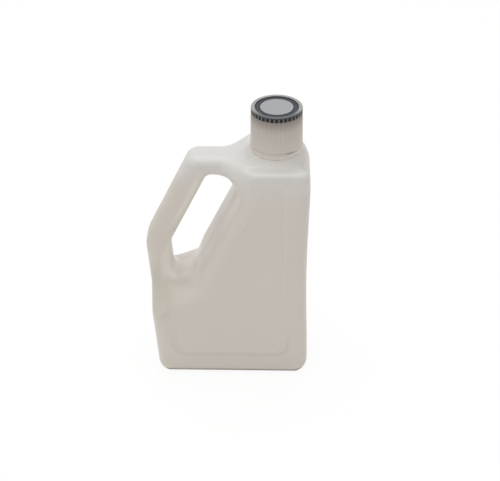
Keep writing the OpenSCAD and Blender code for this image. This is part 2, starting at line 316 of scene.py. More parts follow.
class NodeSheet:
    """Small helper that adds shader nodes to a tree and links them."""

    def __init__(self, tree: bpy.types.NodeTree) -> None:
        """Keeps the tree that nodes are added to."""
        self.tree = tree

    def add(self, kind: str, inputs: dict[str | int, object] | None = None,
            **settings: object) -> bpy.types.Node:
        """Adds a node of a kind.

        Args:
            kind: Kind of node.
            inputs: Sockets or constants for its inputs, by name or number.
            settings: Settings of the node itself.

        Returns:
            The node.
        """
        node = self.tree.nodes.new(kind)
        for key, value in settings.items():
            setattr(node, key, value)
        for key, value in (inputs or {}).items():
            self.feed(node.inputs[key], value)
        return node

    def feed(self, target: Socket, source: Socket | float | tuple) -> None:
        """Links a socket, or sets a constant on the target itself.

        Args:
            target: Input of a node.
            source: Output of another node, or a constant.
        """
        if isinstance(source, bpy.types.NodeSocket):
            self.tree.links.new(source, target)
        else:
            target.default_value = source

    def math(self, operation: str, a: Socket | float, b: Socket | float = 0.0) -> Socket:
        """One operation on two values."""
        return self.add("ShaderNodeMath", {0: a, 1: b}, operation=operation).outputs[0]

    def times(self, *values: Socket | float) -> Socket:
        """Product of the values."""
        return reduce(partial(self.math, "MULTIPLY"), values)

    def plus(self, *values: Socket | float) -> Socket:
        """Sum of the values."""
        return reduce(partial(self.math, "ADD"), values)

    def most(self, *values: Socket | float) -> Socket:
        """Largest of the values."""
        return reduce(partial(self.math, "MAXIMUM"), values)

    def band(self, value: Socket, low: float, high: float, start: float = 0.0, end: float = 1.0) -> Socket:
        """Smooth rise from start to end while value goes from low to high."""
        inputs = {"Value": value, "From Min": low, "From Max": high, "To Min": start, "To Max": end}
        return self.add("ShaderNodeMapRange", inputs, interpolation_type="SMOOTHSTEP").outputs["Result"]

    def mask(self, measures: dict[str, Socket], *patches: Patch) -> Socket:
        """Largest of some soft-edged patches, each the product of its ramps.

        Args:
            measures: Measures by the names that the ramps use.
            patches: Patches of the surface.

        Returns:
            The value of the mask.
        """
        ramps = ([self.band(measures[name], *rest) for name, *rest in patch] for patch in patches)
        return self.most(*(self.times(*values) for values in ramps))

    def noise(self, vector: Socket, scale: Socket | float, detail: float, rough: float) -> Socket:
        """Value of a noise pattern."""
        inputs = {"Vector": vector, "Scale": scale, "Detail": detail, "Roughness": rough}
        return self.add("ShaderNodeTexNoise", inputs).outputs["Fac"]

    def stretch(self, vector: Socket, scale: tuple, turn: tuple) -> Socket:
        """Vector scaled and turned by a mapping."""
        inputs = {"Vector": vector, "Scale": scale, "Rotation": turn}
        return self.add("ShaderNodeMapping", inputs).outputs["Vector"]

    def mix(self, share: Socket | float, a: Socket | tuple, b: Socket | tuple) -> Socket:
        """Mix of two colours."""
        a, b = ((*colour, 1.0) if isinstance(colour, tuple) else colour for colour in (a, b))
        return self.add("ShaderNodeMix", {0: share, 6: a, 7: b}, data_type="RGBA").outputs[2]

    def scaled(self, colour: Socket | tuple, value: Socket | float) -> Socket:
        """Colour or vector times a value."""
        return self.add("ShaderNodeVectorMath", {0: colour, "Scale": value}, operation="SCALE").outputs[0]

    def away(self, places: tuple[Socket, ...], point: tuple[float, ...]) -> Socket:
        """Distance from a point: the root of the sum of the squared differences."""
        steps = [self.math("SUBTRACT", spot, value) for spot, value in zip(places, point)]
        return self.math("SQRT", self.plus(*(self.times(step, step) for step in steps)))

    def places(self) -> Places:
        """Object coordinates of the piece."""
        vector = self.add("ShaderNodeTexCoord").outputs["Object"]
        return Places(vector, *self.add("ShaderNodeSeparateXYZ", {0: self.scaled(vector, 1.0 / MM)}).outputs)

    def group(self, tree: bpy.types.NodeTree, vector: Socket, **values: float) -> Socket:
        """Places a shared group with its own values and gives its output."""
        return self.add("ShaderNodeGroup", {"vector": vector, **values}, node_tree=tree).outputs[0]


class Effects:
    """Shader groups that several finishes share, each built once."""

    @staticmethod
    def start(name: str, **values: float) -> tuple[NodeSheet, bpy.types.NodeOutputs, Socket]:
        """Starts a group with a vector and named values that gives one value.

        Args:
            name: Name of the group.
            values: Input values by name.

        Returns:
            The sheet, the input sockets by name and the output socket.
        """
        tree = bpy.data.node_groups.new(name, "ShaderNodeTree")
        tree.interface.new_socket("vector", in_out="INPUT", socket_type="NodeSocketVector")
        for key, value in values.items():
            socket = tree.interface.new_socket(key, in_out="INPUT", socket_type="NodeSocketFloat")
            socket.default_value = value
        tree.interface.new_socket("value", in_out="OUTPUT", socket_type="NodeSocketFloat")
        sheet = NodeSheet(tree)
        return sheet, sheet.add("NodeGroupInput").outputs, sheet.add("NodeGroupOutput").inputs[0]

    @staticmethod
    @cache
    def clouds() -> bpy.types.NodeTree:
        """Tone of blown plastic: broad clouds plus finer ones, from 0 to 1 about a half."""
        sheet, given, out = Effects.start("cloudy_tone", broad=9.0, fine=60.0)
        broad = sheet.noise(given["vector"], given["broad"], 2.0, 0.5)
        fine = sheet.noise(given["vector"], given["fine"], 3.0, 0.6)
        sheet.feed(out, sheet.plus(sheet.times(broad, 0.65), sheet.times(fine, 0.35)))
        return sheet.tree

    @staticmethod
    @cache
    def grain() -> bpy.types.NodeTree:
        """Height of a moulded skin: fine grain on a slow ripple."""
        sheet, given, out = Effects.start("moulded_grain", grain=900.0, ripple=70.0)
        grain = sheet.noise(given["vector"], given["grain"], 2.0, 0.5)
        ripple = sheet.noise(given["vector"], given["ripple"], 1.0, 0.4)
        sheet.feed(out, sheet.plus(sheet.times(grain, 0.3), sheet.times(ripple, 0.7)))
        return sheet.tree

    @staticmethod
    @cache
    def scuffs() -> bpy.types.NodeTree:
        """Mask of rub marks: thin stretched streaks, only where a broad patch allows them."""
        sheet, given, out = Effects.start("rub_marks", streaks=90.0, patches=14.0)
        upright = sheet.stretch(given["vector"], (1.0, 1.0, 9.0), (0.3, 0.5, 0.2))
        level = sheet.stretch(given["vector"], (8.0, 1.0, 1.0), (0.2, 0.7, 0.4))
        lines = sheet.most(sheet.band(sheet.noise(upright, given["streaks"], 4.0, 0.6), 0.64, 0.70),
                           sheet.band(sheet.noise(level, given["streaks"], 4.0, 0.6), 0.65, 0.71))
        allowed = sheet.band(sheet.noise(given["vector"], given["patches"], 2.0, 0.5), 0.46, 0.66)
        sheet.feed(out, sheet.times(lines, allowed))
        return sheet.tree


@dataclass(frozen=True)
class Finish:
    """A plastic finish: its colour, its gloss and how strong its marks are.

    Attributes:
        name: Name of the material.
        colour: Main colour, linear.
        roughness: Middle roughness.
        cloud: Share by which the tone drifts.
        bump: Depth of the grain.
        scatter: Weight of the light that scatters below the skin.
        gloss: Level of the mirror part.
        streaks: Fineness of the rub marks.
        patches: Fineness of the patches that they lie in.
        rub: Share of their colour.
        rubbed: Their colour.
        tone_span: Cloud values between which the tone drifts.
        rough_span: Cloud values between which the roughness drifts.
        rough_drift: Change of roughness over the clouds.
        rub_rough: Roughness that rub marks add.
        rub_depth: Share of the grain that rub marks take.
        bump_strength: Strength of the grain.
        scatter_radius: How far each colour scatters, as a share.
        scatter_scale: How far light scatters.
    """

    name: str
    colour: Colour
    roughness: float = 0.42
    cloud: float = 0.012
    bump: float = 0.05
    scatter: float = 0.3
    gloss: float = 0.5
    streaks: float = 90.0
    patches: float = 14.0
    rub: float = 0.12
    rubbed: Colour = linear(226, 224, 220)
    tone_span: Pair = (0.25, 0.75)
    rough_span: Pair = (0.3, 0.7)
    rough_drift: float = 0.06
    rub_rough: float = 0.12
    rub_depth: float = 0.25
    bump_strength: float = 0.6
    scatter_radius: Colour = (1.0, 0.9, 0.8)
    scatter_scale: float = 2.5

    def face(self, sheet: NodeSheet, at: Places) -> Socket | Colour:
        """Colour before drift, rub marks, dirt and painted shade: plain, unless a finish has its own.

        Args:
            sheet: Sheet of the material.
            at: Object coordinates.

        Returns:
            A colour, or the socket that gives it.
        """
        return self.colour

    def soiled_and_shaded(self, sheet: NodeSheet, at: Places, colour: Socket) -> Socket:
        """Colour with dirt and painted shade on it: as it was, unless a finish has its own.

        Args:
            sheet: Sheet of the material.
            at: Object coordinates.
            colour: Colour without dirt and painted shade.

        Returns:
            The colour that the shader gets.
        """
        return colour

    def skin(self, sheet: NodeSheet, shader: bpy.types.Node, vector: Socket, scuff: Socket) -> None:
        """Roughness that drifts with the clouds and rises with the rub marks, and a bump of the grain.

        Args:
            sheet: Sheet of the material.
            shader: Its Principled shader.
            vector: Object coordinates.
            scuff: Mask of rub marks.
        """
        tone = sheet.group(Effects.clouds(), vector, broad=22.0, fine=150.0)
        levels = (self.roughness - self.rough_drift, self.roughness + self.rough_drift)
        rough = sheet.band(tone, *self.rough_span, *levels)
        sheet.feed(shader.inputs["Roughness"], sheet.plus(rough, sheet.times(scuff, self.rub_rough)))
        height = sheet.plus(sheet.group(Effects.grain(), vector), sheet.times(scuff, -self.rub_depth))
        inputs = {"Strength": self.bump_strength, "Distance": self.bump * MM, "Height": height}
        sheet.feed(shader.inputs["Normal"], sheet.add("ShaderNodeBump", inputs).outputs["Normal"])

    def material(self) -> bpy.types.Material:
        """Builds the node tree: face, slow drift of tone, rub marks, dirt and painted shade, then gloss and
        grain.
        """
        material = bpy.data.materials.new(self.name)
        material.use_nodes = True
        material.diffuse_color = (*self.colour, 1.0)
        sheet = NodeSheet(material.node_tree)
        shader = material.node_tree.nodes["Principled BSDF"]
        shader.inputs["Subsurface Weight"].default_value = self.scatter
        shader.inputs["Subsurface Radius"].default_value = self.scatter_radius
        shader.inputs["Subsurface Scale"].default_value = self.scatter_scale * MM
        shader.inputs["Specular IOR Level"].default_value = self.gloss
        at = sheet.places()
        tone = sheet.group(Effects.clouds(), at.vector)
        drift = sheet.band(tone, *self.tone_span, 1.0 - self.cloud, 1.0 + self.cloud)
        colour = sheet.scaled(self.face(sheet, at), drift)
        scuff = sheet.group(Effects.scuffs(), at.vector, streaks=self.streaks, patches=self.patches)
        colour = sheet.mix(sheet.times(scuff, self.rub), colour, self.rubbed)
        sheet.feed(shader.inputs["Base Color"], self.soiled_and_shaded(sheet, at, colour))
        self.skin(sheet, shader, at.vector, scuff)
        return material


@dataclass(frozen=True)
class MilkyShell(Finish):
    """Milky blown plastic: warm on the faces, with the shoulder painted cooler and paler as lit from above
    and the heel painted slightly darker as shade.

    Painted light pales the creases beside the finger gap, where light would come through the wall. Painted
    shade dulls the outer side of the grip, the foot of the handle and the ring round the neck.

    Attributes:
        top: Colour of the shoulder and the top of the handle, painted paler and cooler as lit from above.
        heel: Colour below the label panel, painted slightly darker as shade where the heel turns under.
        painted_light: Colour of painted light that pales the shaded creases beside the finger gap, as light
            through the wall would.
        painted_shade: Colour of painted shade on the outer side of the grip, on the foot of the handle and
            round the neck.
        dust_and_shade: Colour of the dust at the foot, of the painted contact shadow along the foot and of
            the painted shade under the label panel.
        dark: Colour of the speck.
        shoulder_z: Heights between which the face turns into the shoulder.
        heel_z: Heights between which the heel begins.
        slant: Outward angle of the grip in degrees.
        lower_lean: Lean of the lower left side in degrees.
        chute: X and Z of the middle of the floor of the gap.
        fold: X, share of depth and Z of the fold between that floor and the flank.
        fold_share: Share at which depth counts there.
        foot: X and Z of the foot of the handle.
        neck: X and Y of the axis of the neck.
        speck: X and Z of a dark speck in the front wall.
        panel: X of its right side, Z of its lower side, distance of its left side and its corner radius.
        painted_light_share: Share of the painted light.
        painted_shade_share: Share of the painted shade.
        dust_grain: Fineness of the dust at the foot.
    """

    name: str = "milky_shell"
    colour: Colour = linear(208, 202, 195)
    # Painted light: the shoulder and the handle's top are paler and cooler, as lit from above.
    top: Colour = linear(209, 208, 206)
    # Painted shade: slightly darker below the label panel.
    heel: Colour = linear(206, 201, 193)
    # Painted light: pale colour laid on the shaded creases beside the finger gap.
    painted_light: Colour = linear(240, 237, 231)
    # Painted shade: colour of the dulled outer grip, foot of the handle and ring round the neck.
    painted_shade: Colour = linear(196, 191, 181)
    # Colour of real dust and of painted shadow and shade.
    dust_and_shade: Colour = linear(116, 105, 92)
    dark: Colour = linear(120, 110, 100)
    shoulder_z: Pair = (190.0, 244.0)
    heel_z: Pair = (20.0, 27.0)
    slant: float = 154.0
    lower_lean: float = 4.4
    chute: Pair = (-44.0, 104.0)
    fold: tuple[float, float, float] = (-30.0, 10.0, 112.0)
    fold_share: float = 0.6
    foot: Pair = (-72.0, 93.0)
    neck: Pair = (48.0, 0.0)
    speck: Pair = (18.7, 175.6)
    panel: tuple[float, float, float, float] = (57.2, 30.0, 48.4, 9.0)
    painted_light_share: float = 0.8
    painted_shade_share: float = 0.9
    dust_grain: float = 160.0
    # Patches of painted light in the shaded creases beside the finger gap
    grip_edge: Patch = (("lean", 120.9, 111.9), ("lean", 86.0, 94.0), ("z", 88.0, 108.0), ("z", 212.0, 190.0),
                        ("deep", 24.0, 14.0), ("x", -69.0, -58.0), ("z", 170.0, 128.0, 0.85, 1.2))
    upper_grip: Patch = (("lean", 123.9, 114.9), ("lean", 86.0, 94.0), ("z", 145.0, 185.0, 0.0, 0.85),
                         ("z", 226.0, 211.0), ("deep", 28.0, 18.0))
    flank: Patch = (("lean", 79.5, 77.5), ("deep", 38.0, 30.0), ("z", 155.0, 190.0, 0.0, 0.3),
                    ("z", 222.0, 212.0), ("x", 40.0, 30.0))
    gap_floor: Patch = (("chute", 18.0, 8.0, 0.0, 0.4), ("deep", 20.0, 11.0))
    gap_fold: Patch = (("fold", 15.0, 5.0, 0.0, 0.5),)
    # Painted highlight: thin pale streaks along the shoulder's front edge.
    painted_edge_highlight: Patch = (("z", 234.5, 236.5), ("x", 15.0, 21.0), ("y", -27.0, -28.5), ("y", -31.5, -29.5),
                          ("x", 18.0, 22.0), ("x", 38.0, 26.0, 0.0, 0.4))
    # Patches of painted shade: the outer side of the grip, the foot of the handle and the shadow round the
    # neck
    grip_back: Patch = (("lean", 122.9, 135.9, 0.0, 0.6), ("z", 105.0, 130.0), ("z", 228.0, 205.0))
    handle_foot: Patch = (("foot", 33.0, 8.0),)
    # Painted shadow on the shoulder round the neck, below the cap.
    collar: Patch = (("neck", 36.0, 26.0, 0.0, 0.45), ("z", 232.0, 236.0))
    # Patches of the speck, of dust, and of painted shadow and shade at the foot and under the label panel
    spot: Patch = (("speck", 1.1, 0.4), ("y", -30.0, -40.0, 0.0, 0.35))
    # Painted contact shadow with dirt: a dark line along the lowest edge of the foot.
    heel_shadow_and_dirt: Patch = (("z", 6.3, 3.7, 0.0, 0.62),)
    heel_dust: Patch = (("z", 6.0, 0.0, 0.0, 0.4),)
    # Painted shade: a dark line along the lower edge of the label panel.
    panel_edge_shade: Patch = (("panel", 9.3, 12.2), ("panel", 17.0, 13.0), ("z", 58.0, 30.0, 0.015, 0.10))

    def face(self, sheet: NodeSheet, at: Places) -> Socket:
        """Face, heel and shoulder, with painted shade on the grip, the foot of the handle and round the neck,
        and painted light in the creases by the gap.

        With a the outward angle of the grip, the measure lean is x cos a + z sin a.
        """
        a = math.radians(self.slant)
        deep = sheet.math("ABSOLUTE", at.y)
        measures = {
            "x": at.x, "y": at.y, "z": at.z, "deep": deep,
            "lean": sheet.plus(sheet.times(at.x, math.cos(a)), sheet.times(at.z, math.sin(a))),
            "chute": sheet.away((at.x, at.z), self.chute),
            "fold": sheet.away((at.x, sheet.times(deep, self.fold_share), at.z), self.fold),
            "foot": sheet.away((at.x, at.z), self.foot),
            "neck": sheet.away((at.x, at.y), self.neck),
        }
        mask = partial(sheet.mask, measures)
        # Painted shade: the face darkens slightly below the label panel, towards the heel.
        face = sheet.mix(sheet.band(at.z, *self.heel_z), self.heel, self.colour)
        # Painted light: paler, cooler colour on the shoulder and the top of the handle.
        face = sheet.mix(sheet.band(at.z, *self.shoulder_z), face, self.top)
        # Painted shade: the outer grip, the foot of the handle and the ring round the neck are dulled.
        painted_shade = mask(self.grip_back, self.handle_foot, self.collar)
        face = sheet.mix(sheet.times(painted_shade, self.painted_shade_share), face, self.painted_shade)
        # Painted light: the grip's inner edge, the flank and the floor and fold of the gap are paled where
        # they lie in shade.
        painted_light = mask(self.grip_edge, self.upper_grip, self.flank, self.gap_floor, self.gap_fold)
        face = sheet.mix(sheet.times(painted_light, self.painted_light_share), face, self.painted_light)
        # Painted highlight on the shoulder's front edge, in the colour of the painted light.
        return sheet.mix(mask(self.painted_edge_highlight), face, self.painted_light)

    def panel_measure(self, sheet: NodeSheet, at: Places) -> Socket:
        """Distance |max(d + r, 0)|, with d the distances outside the panel and r its corner radius."""
        right, low, left, r = self.panel
        a = math.radians(self.lower_lean)
        slope = sheet.plus(sheet.times(at.x, -math.cos(a)), sheet.times(at.z, -math.sin(a)))
        outs = ((at.x, right - r), (low + r, at.z), (slope, left - r))
        beyond = tuple(sheet.most(sheet.math("SUBTRACT", *out), 0.0) for out in outs)
        return sheet.away(beyond, (0.0, 0.0, 0.0))

    def soiled_and_shaded(self, sheet: NodeSheet, at: Places, colour: Socket) -> Socket:
        """Adds the speck, the dust at the foot, a dark line at the foot as painted contact shadow with dirt,
        and painted shade along the label panel's lower edge.
        """
        measures = {"y": at.y, "z": at.z, "speck": sheet.away((at.x, at.z), self.speck),
                    "panel": self.panel_measure(sheet, at)}
        mask = partial(sheet.mask, measures)
        colour = sheet.mix(mask(self.spot), colour, self.dark)
        dust = sheet.times(mask(self.heel_dust), sheet.noise(at.vector, self.dust_grain, 4.0, 0.6))
        # Dust at the foot, painted contact shadow with dirt along the foot, and painted shade under the label
        # panel.
        dust_and_shade_mask = sheet.plus(dust, mask(self.heel_shadow_and_dirt), mask(self.panel_edge_shade))
        return sheet.mix(dust_and_shade_mask, colour, self.dust_and_shade)


@dataclass(frozen=True)
class RibbedClosure(Finish):
    """Milky moulded plastic of the cap: painted shade darkens it under its dark cover and between the keys,
    and it is paler towards the band.

    Attributes:
        foot: Colour at the lower edge of the band.
        low: Colour at the lower edge of the cap.
        shade_under_cover: Colour just below the keys, painted darker as shade under the cover.
        shade_between_keys: Colour between the keys, painted dark as the shade that they cast.
        foot_z: Heights between which the foot turns into the low colour, and so on upwards.
        low_z: The same for the main colour.
        under_z: The same for the colour just below the keys.
        keys_z: The same for the colour between them.
    """

    name: str = "ribbed_closure"
    colour: Colour = linear(190, 184, 177)
    roughness: float = 0.44
    bump: float = 0.04
    streaks: float = 160.0
    patches: float = 40.0
    rub: float = 0.15
    rubbed: Colour = linear(216, 212, 206)
    foot: Colour = linear(226, 221, 214)
    low: Colour = linear(203, 197, 190)
    # Painted shade: the skirt darkens under the cover and between the keys.
    shade_under_cover: Colour = linear(147, 139, 132)
    shade_between_keys: Colour = linear(114, 110, 107)
    foot_z: Pair = (243.4, 248.0)
    low_z: Pair = (248.0, 268.0)
    under_z: Pair = (268.0, 282.3)
    keys_z: Pair = (280.8, 283.3)

    def face(self, sheet: NodeSheet, at: Places) -> Socket:
        """The five tones, each eased into the next over the height: pale at the band, then painted shade
        under the cover and between the keys.
        """
        face = self.foot
        for heights, tone in ((self.foot_z, self.low), (self.low_z, self.colour),
                              (self.under_z, self.shade_under_cover), (self.keys_z, self.shade_between_keys)):
            face = sheet.mix(sheet.band(at.z, *heights), face, tone)
        return face


@dataclass(frozen=True)
class SlateCover(Finish):
    """Slate grey cover: rim with a painted reflection on its far side, dark ring groove, side painted darker
    as shade and keys painted nearly black as the shade in their slots.

    Attributes:
        rim: Colour of the top of the raised rim.
        far_rim_reflection: Colour of the painted reflection that makes the rim pale on its far side.
        side: Colour of its side, painted darker as shade.
        key: Colour of the keys below the cover, painted nearly black as the shade in their slots.
        axis: X and Y of the axis of the cap.
        far_rim_reflection_y: Depths between which the painted reflection begins.
        rim_edge: Radii between which the rim begins.
        side_edge: Radii between which the side begins.
        side_z: Heights between which the side begins, downwards.
        key_z: Heights between which the keys begin, downwards.
    """

    name: str = "slate_cover"
    colour: Colour = linear(48, 53, 60)
    roughness: float = 0.45
    cloud: float = 0.02
    bump: float = 0.03
    scatter: float = 0.0
    gloss: float = 0.3
    streaks: float = 220.0
    patches: float = 60.0
    rub: float = 0.2
    rubbed: Colour = linear(180, 181, 181)
    rim: Colour = linear(91, 95, 99)
    # Painted reflection: the rim is pale on its far side.
    far_rim_reflection: Colour = linear(158, 156, 154)
    # Painted shade: the side of the cover is darker.
    side: Colour = linear(52, 56, 62)
    # Painted shade: the keys are nearly black, as the shade in their slots.
    key: Colour = linear(16, 17, 22)
    axis: Pair = (48.0, 0.0)
    far_rim_reflection_y: Pair = (-19.0, -5.0)
    rim_edge: Pair = (20.6, 21.1)
    side_edge: Pair = (22.0, 23.0)
    side_z: Pair = (286.9, 286.5)
    key_z: Pair = (285.9, 285.7)

    def face(self, sheet: NodeSheet, at: Places) -> Socket:
        """Ring, rim, side and keys by their distance from the axis and their height."""
        away = sheet.away((at.x, at.y), self.axis)
        # Painted reflection: the far side of the rim is paler.
        rim = sheet.mix(sheet.band(at.y, *self.far_rim_reflection_y), self.rim, self.far_rim_reflection)
        face = sheet.mix(sheet.band(away, *self.rim_edge), self.colour, rim)
        # Painted shade on the side of the cover.
        side = sheet.mix(sheet.band(away, *self.side_edge), self.colour, self.side)
        face = sheet.mix(sheet.band(at.z, *self.side_z), face, side)
        # Painted shade: the keys are nearly black, as the shade in their slots.
        return sheet.mix(sheet.band(at.z, *self.key_z), face, self.key)


@dataclass(frozen=True)
class TurnedDisc(Finish):
    """Pale disc with faint turned rings and fine rub marks.

    Attributes:
        axis: X and Y of the axis.
        rings: Turned rings to a millimetre.
        ring_tone: Share by which they change the tone.
    """

    name: str = "pale_disc"
    colour: Colour = linear(150, 152, 155)
    roughness: float = 0.4
    cloud: float = 0.015
    bump: float = 0.02
    scatter: float = 0.0
    streaks: float = 240.0
    patches: float = 70.0
    rub: float = 0.25
    rubbed: Colour = linear(200, 201, 202)
    axis: Pair = (48.0, 0.0)
    rings: float = 1.6
    ring_tone: float = 0.015

    def face(self, sheet: NodeSheet, at: Places) -> Socket:
        """Colour times a sine over the distance from the axis."""
        turns = sheet.times(sheet.away((at.x, at.y), self.axis), FULL_TURN * self.rings)
        tones = (1.0 - self.ring_tone, 1.0 + self.ring_tone)
        return sheet.scaled(self.colour, sheet.band(sheet.math("SINE", turns), -1.0, 1.0, *tones))


@dataclass(frozen=True)
class FoamWad(Finish):
    """White foamed wad with small closed cells.

    Attributes:
        cells: Fineness of the cells.
        pit_span: Shares of a cell between which its tone changes.
        pits: Tones at the middle and at the edge of a cell.
    """

    name: str = "foam_wad"
    colour: Colour = linear(240, 240, 237)
    roughness: float = 0.75
    cloud: float = 0.01
    scatter: float = 0.1
    gloss: float = 0.4
    streaks: float = 120.0
    patches: float = 50.0
    rub: float = 0.0
    cells: float = 1400.0
    pit_span: Pair = (0.1, 0.5)
    pits: Pair = (0.93, 1.03)

    def face(self, sheet: NodeSheet, at: Places) -> Socket:
        """Colour times the tone of the cells."""
        cells = sheet.add("ShaderNodeTexVoronoi", {"Vector": at.vector, "Scale": self.cells})
        return sheet.scaled(self.colour, sheet.band(cells.outputs["Distance"], *self.pit_span, *self.pits))


# Blown bottle


@dataclass(frozen=True)
class RoundedOutline:
    """A closed outline of straight sides with round corners, run through clockwise.

    Attributes:
        angles: Outward angle of each side in degrees.
        reaches: Distance of each side from the origin.
        radii: Radius of the corner after each side.
    """

    angles: np.ndarray
    reaches: np.ndarray
    radii: np.ndarray

    def inset(self, steps: np.ndarray, least: float) -> "RoundedOutline":
        """Moves every side inwards and makes the corners smaller, down to a least radius."""
        pair = np.minimum(steps, np.roll(steps, -1))
        return RoundedOutline(self.angles, self.reaches - steps, np.maximum(self.radii - pair, least))

    def outset(self, steps: np.ndarray, growth: float) -> "RoundedOutline":
        """Moves every side outwards and makes the corners larger by a share of the step."""
        pair = np.minimum(steps, np.roll(steps, -1))
        return RoundedOutline(self.angles, self.reaches + steps, self.radii + growth * pair)

    def centres(self) -> np.ndarray:
        """Centres of the corners: where two neighbouring sides meet after each moves in by the radius."""
        a, b = np.radians(self.angles), np.radians(np.roll(self.angles, -1))
        p, q = self.reaches - self.radii, np.roll(self.reaches, -1) - self.radii
        d = np.sin(b - a)
        return np.stack([(p * np.sin(b) - q * np.sin(a)) / d, (q * np.cos(a) - p * np.cos(b)) / d], -1)

    def points(self, places: np.ndarray) -> np.ndarray:
        """Points of the outline: even numbers start a side, odd numbers start the corner after it.

        Args:
            places: Array of places, whole number plus share.

        Returns:
            Array of points: a side is a straight mix of its ends, a corner is centre plus radius times unit.
        """
        n = len(self.angles)
        whole = np.floor(places).astype(int)
        share = (places - whole)[:, None]
        side = (whole // 2) % n
        before, after = (side - 1) % n, (side + 1) % n
        centre, angle = self.centres(), self.angles[side]
        start = centre[before] + self.radii[before][:, None] * unit(angle)
        end = centre[side] + self.radii[side][:, None] * unit(angle)
        target = self.angles[after]
        target = np.where(target < angle, target, target - 360.0)
        arc = centre[side] + self.radii[side][:, None] * unit(angle + share[:, 0] * (target - angle))
        return np.where((whole % 2 == 0)[:, None], start + (end - start) * share, arc)


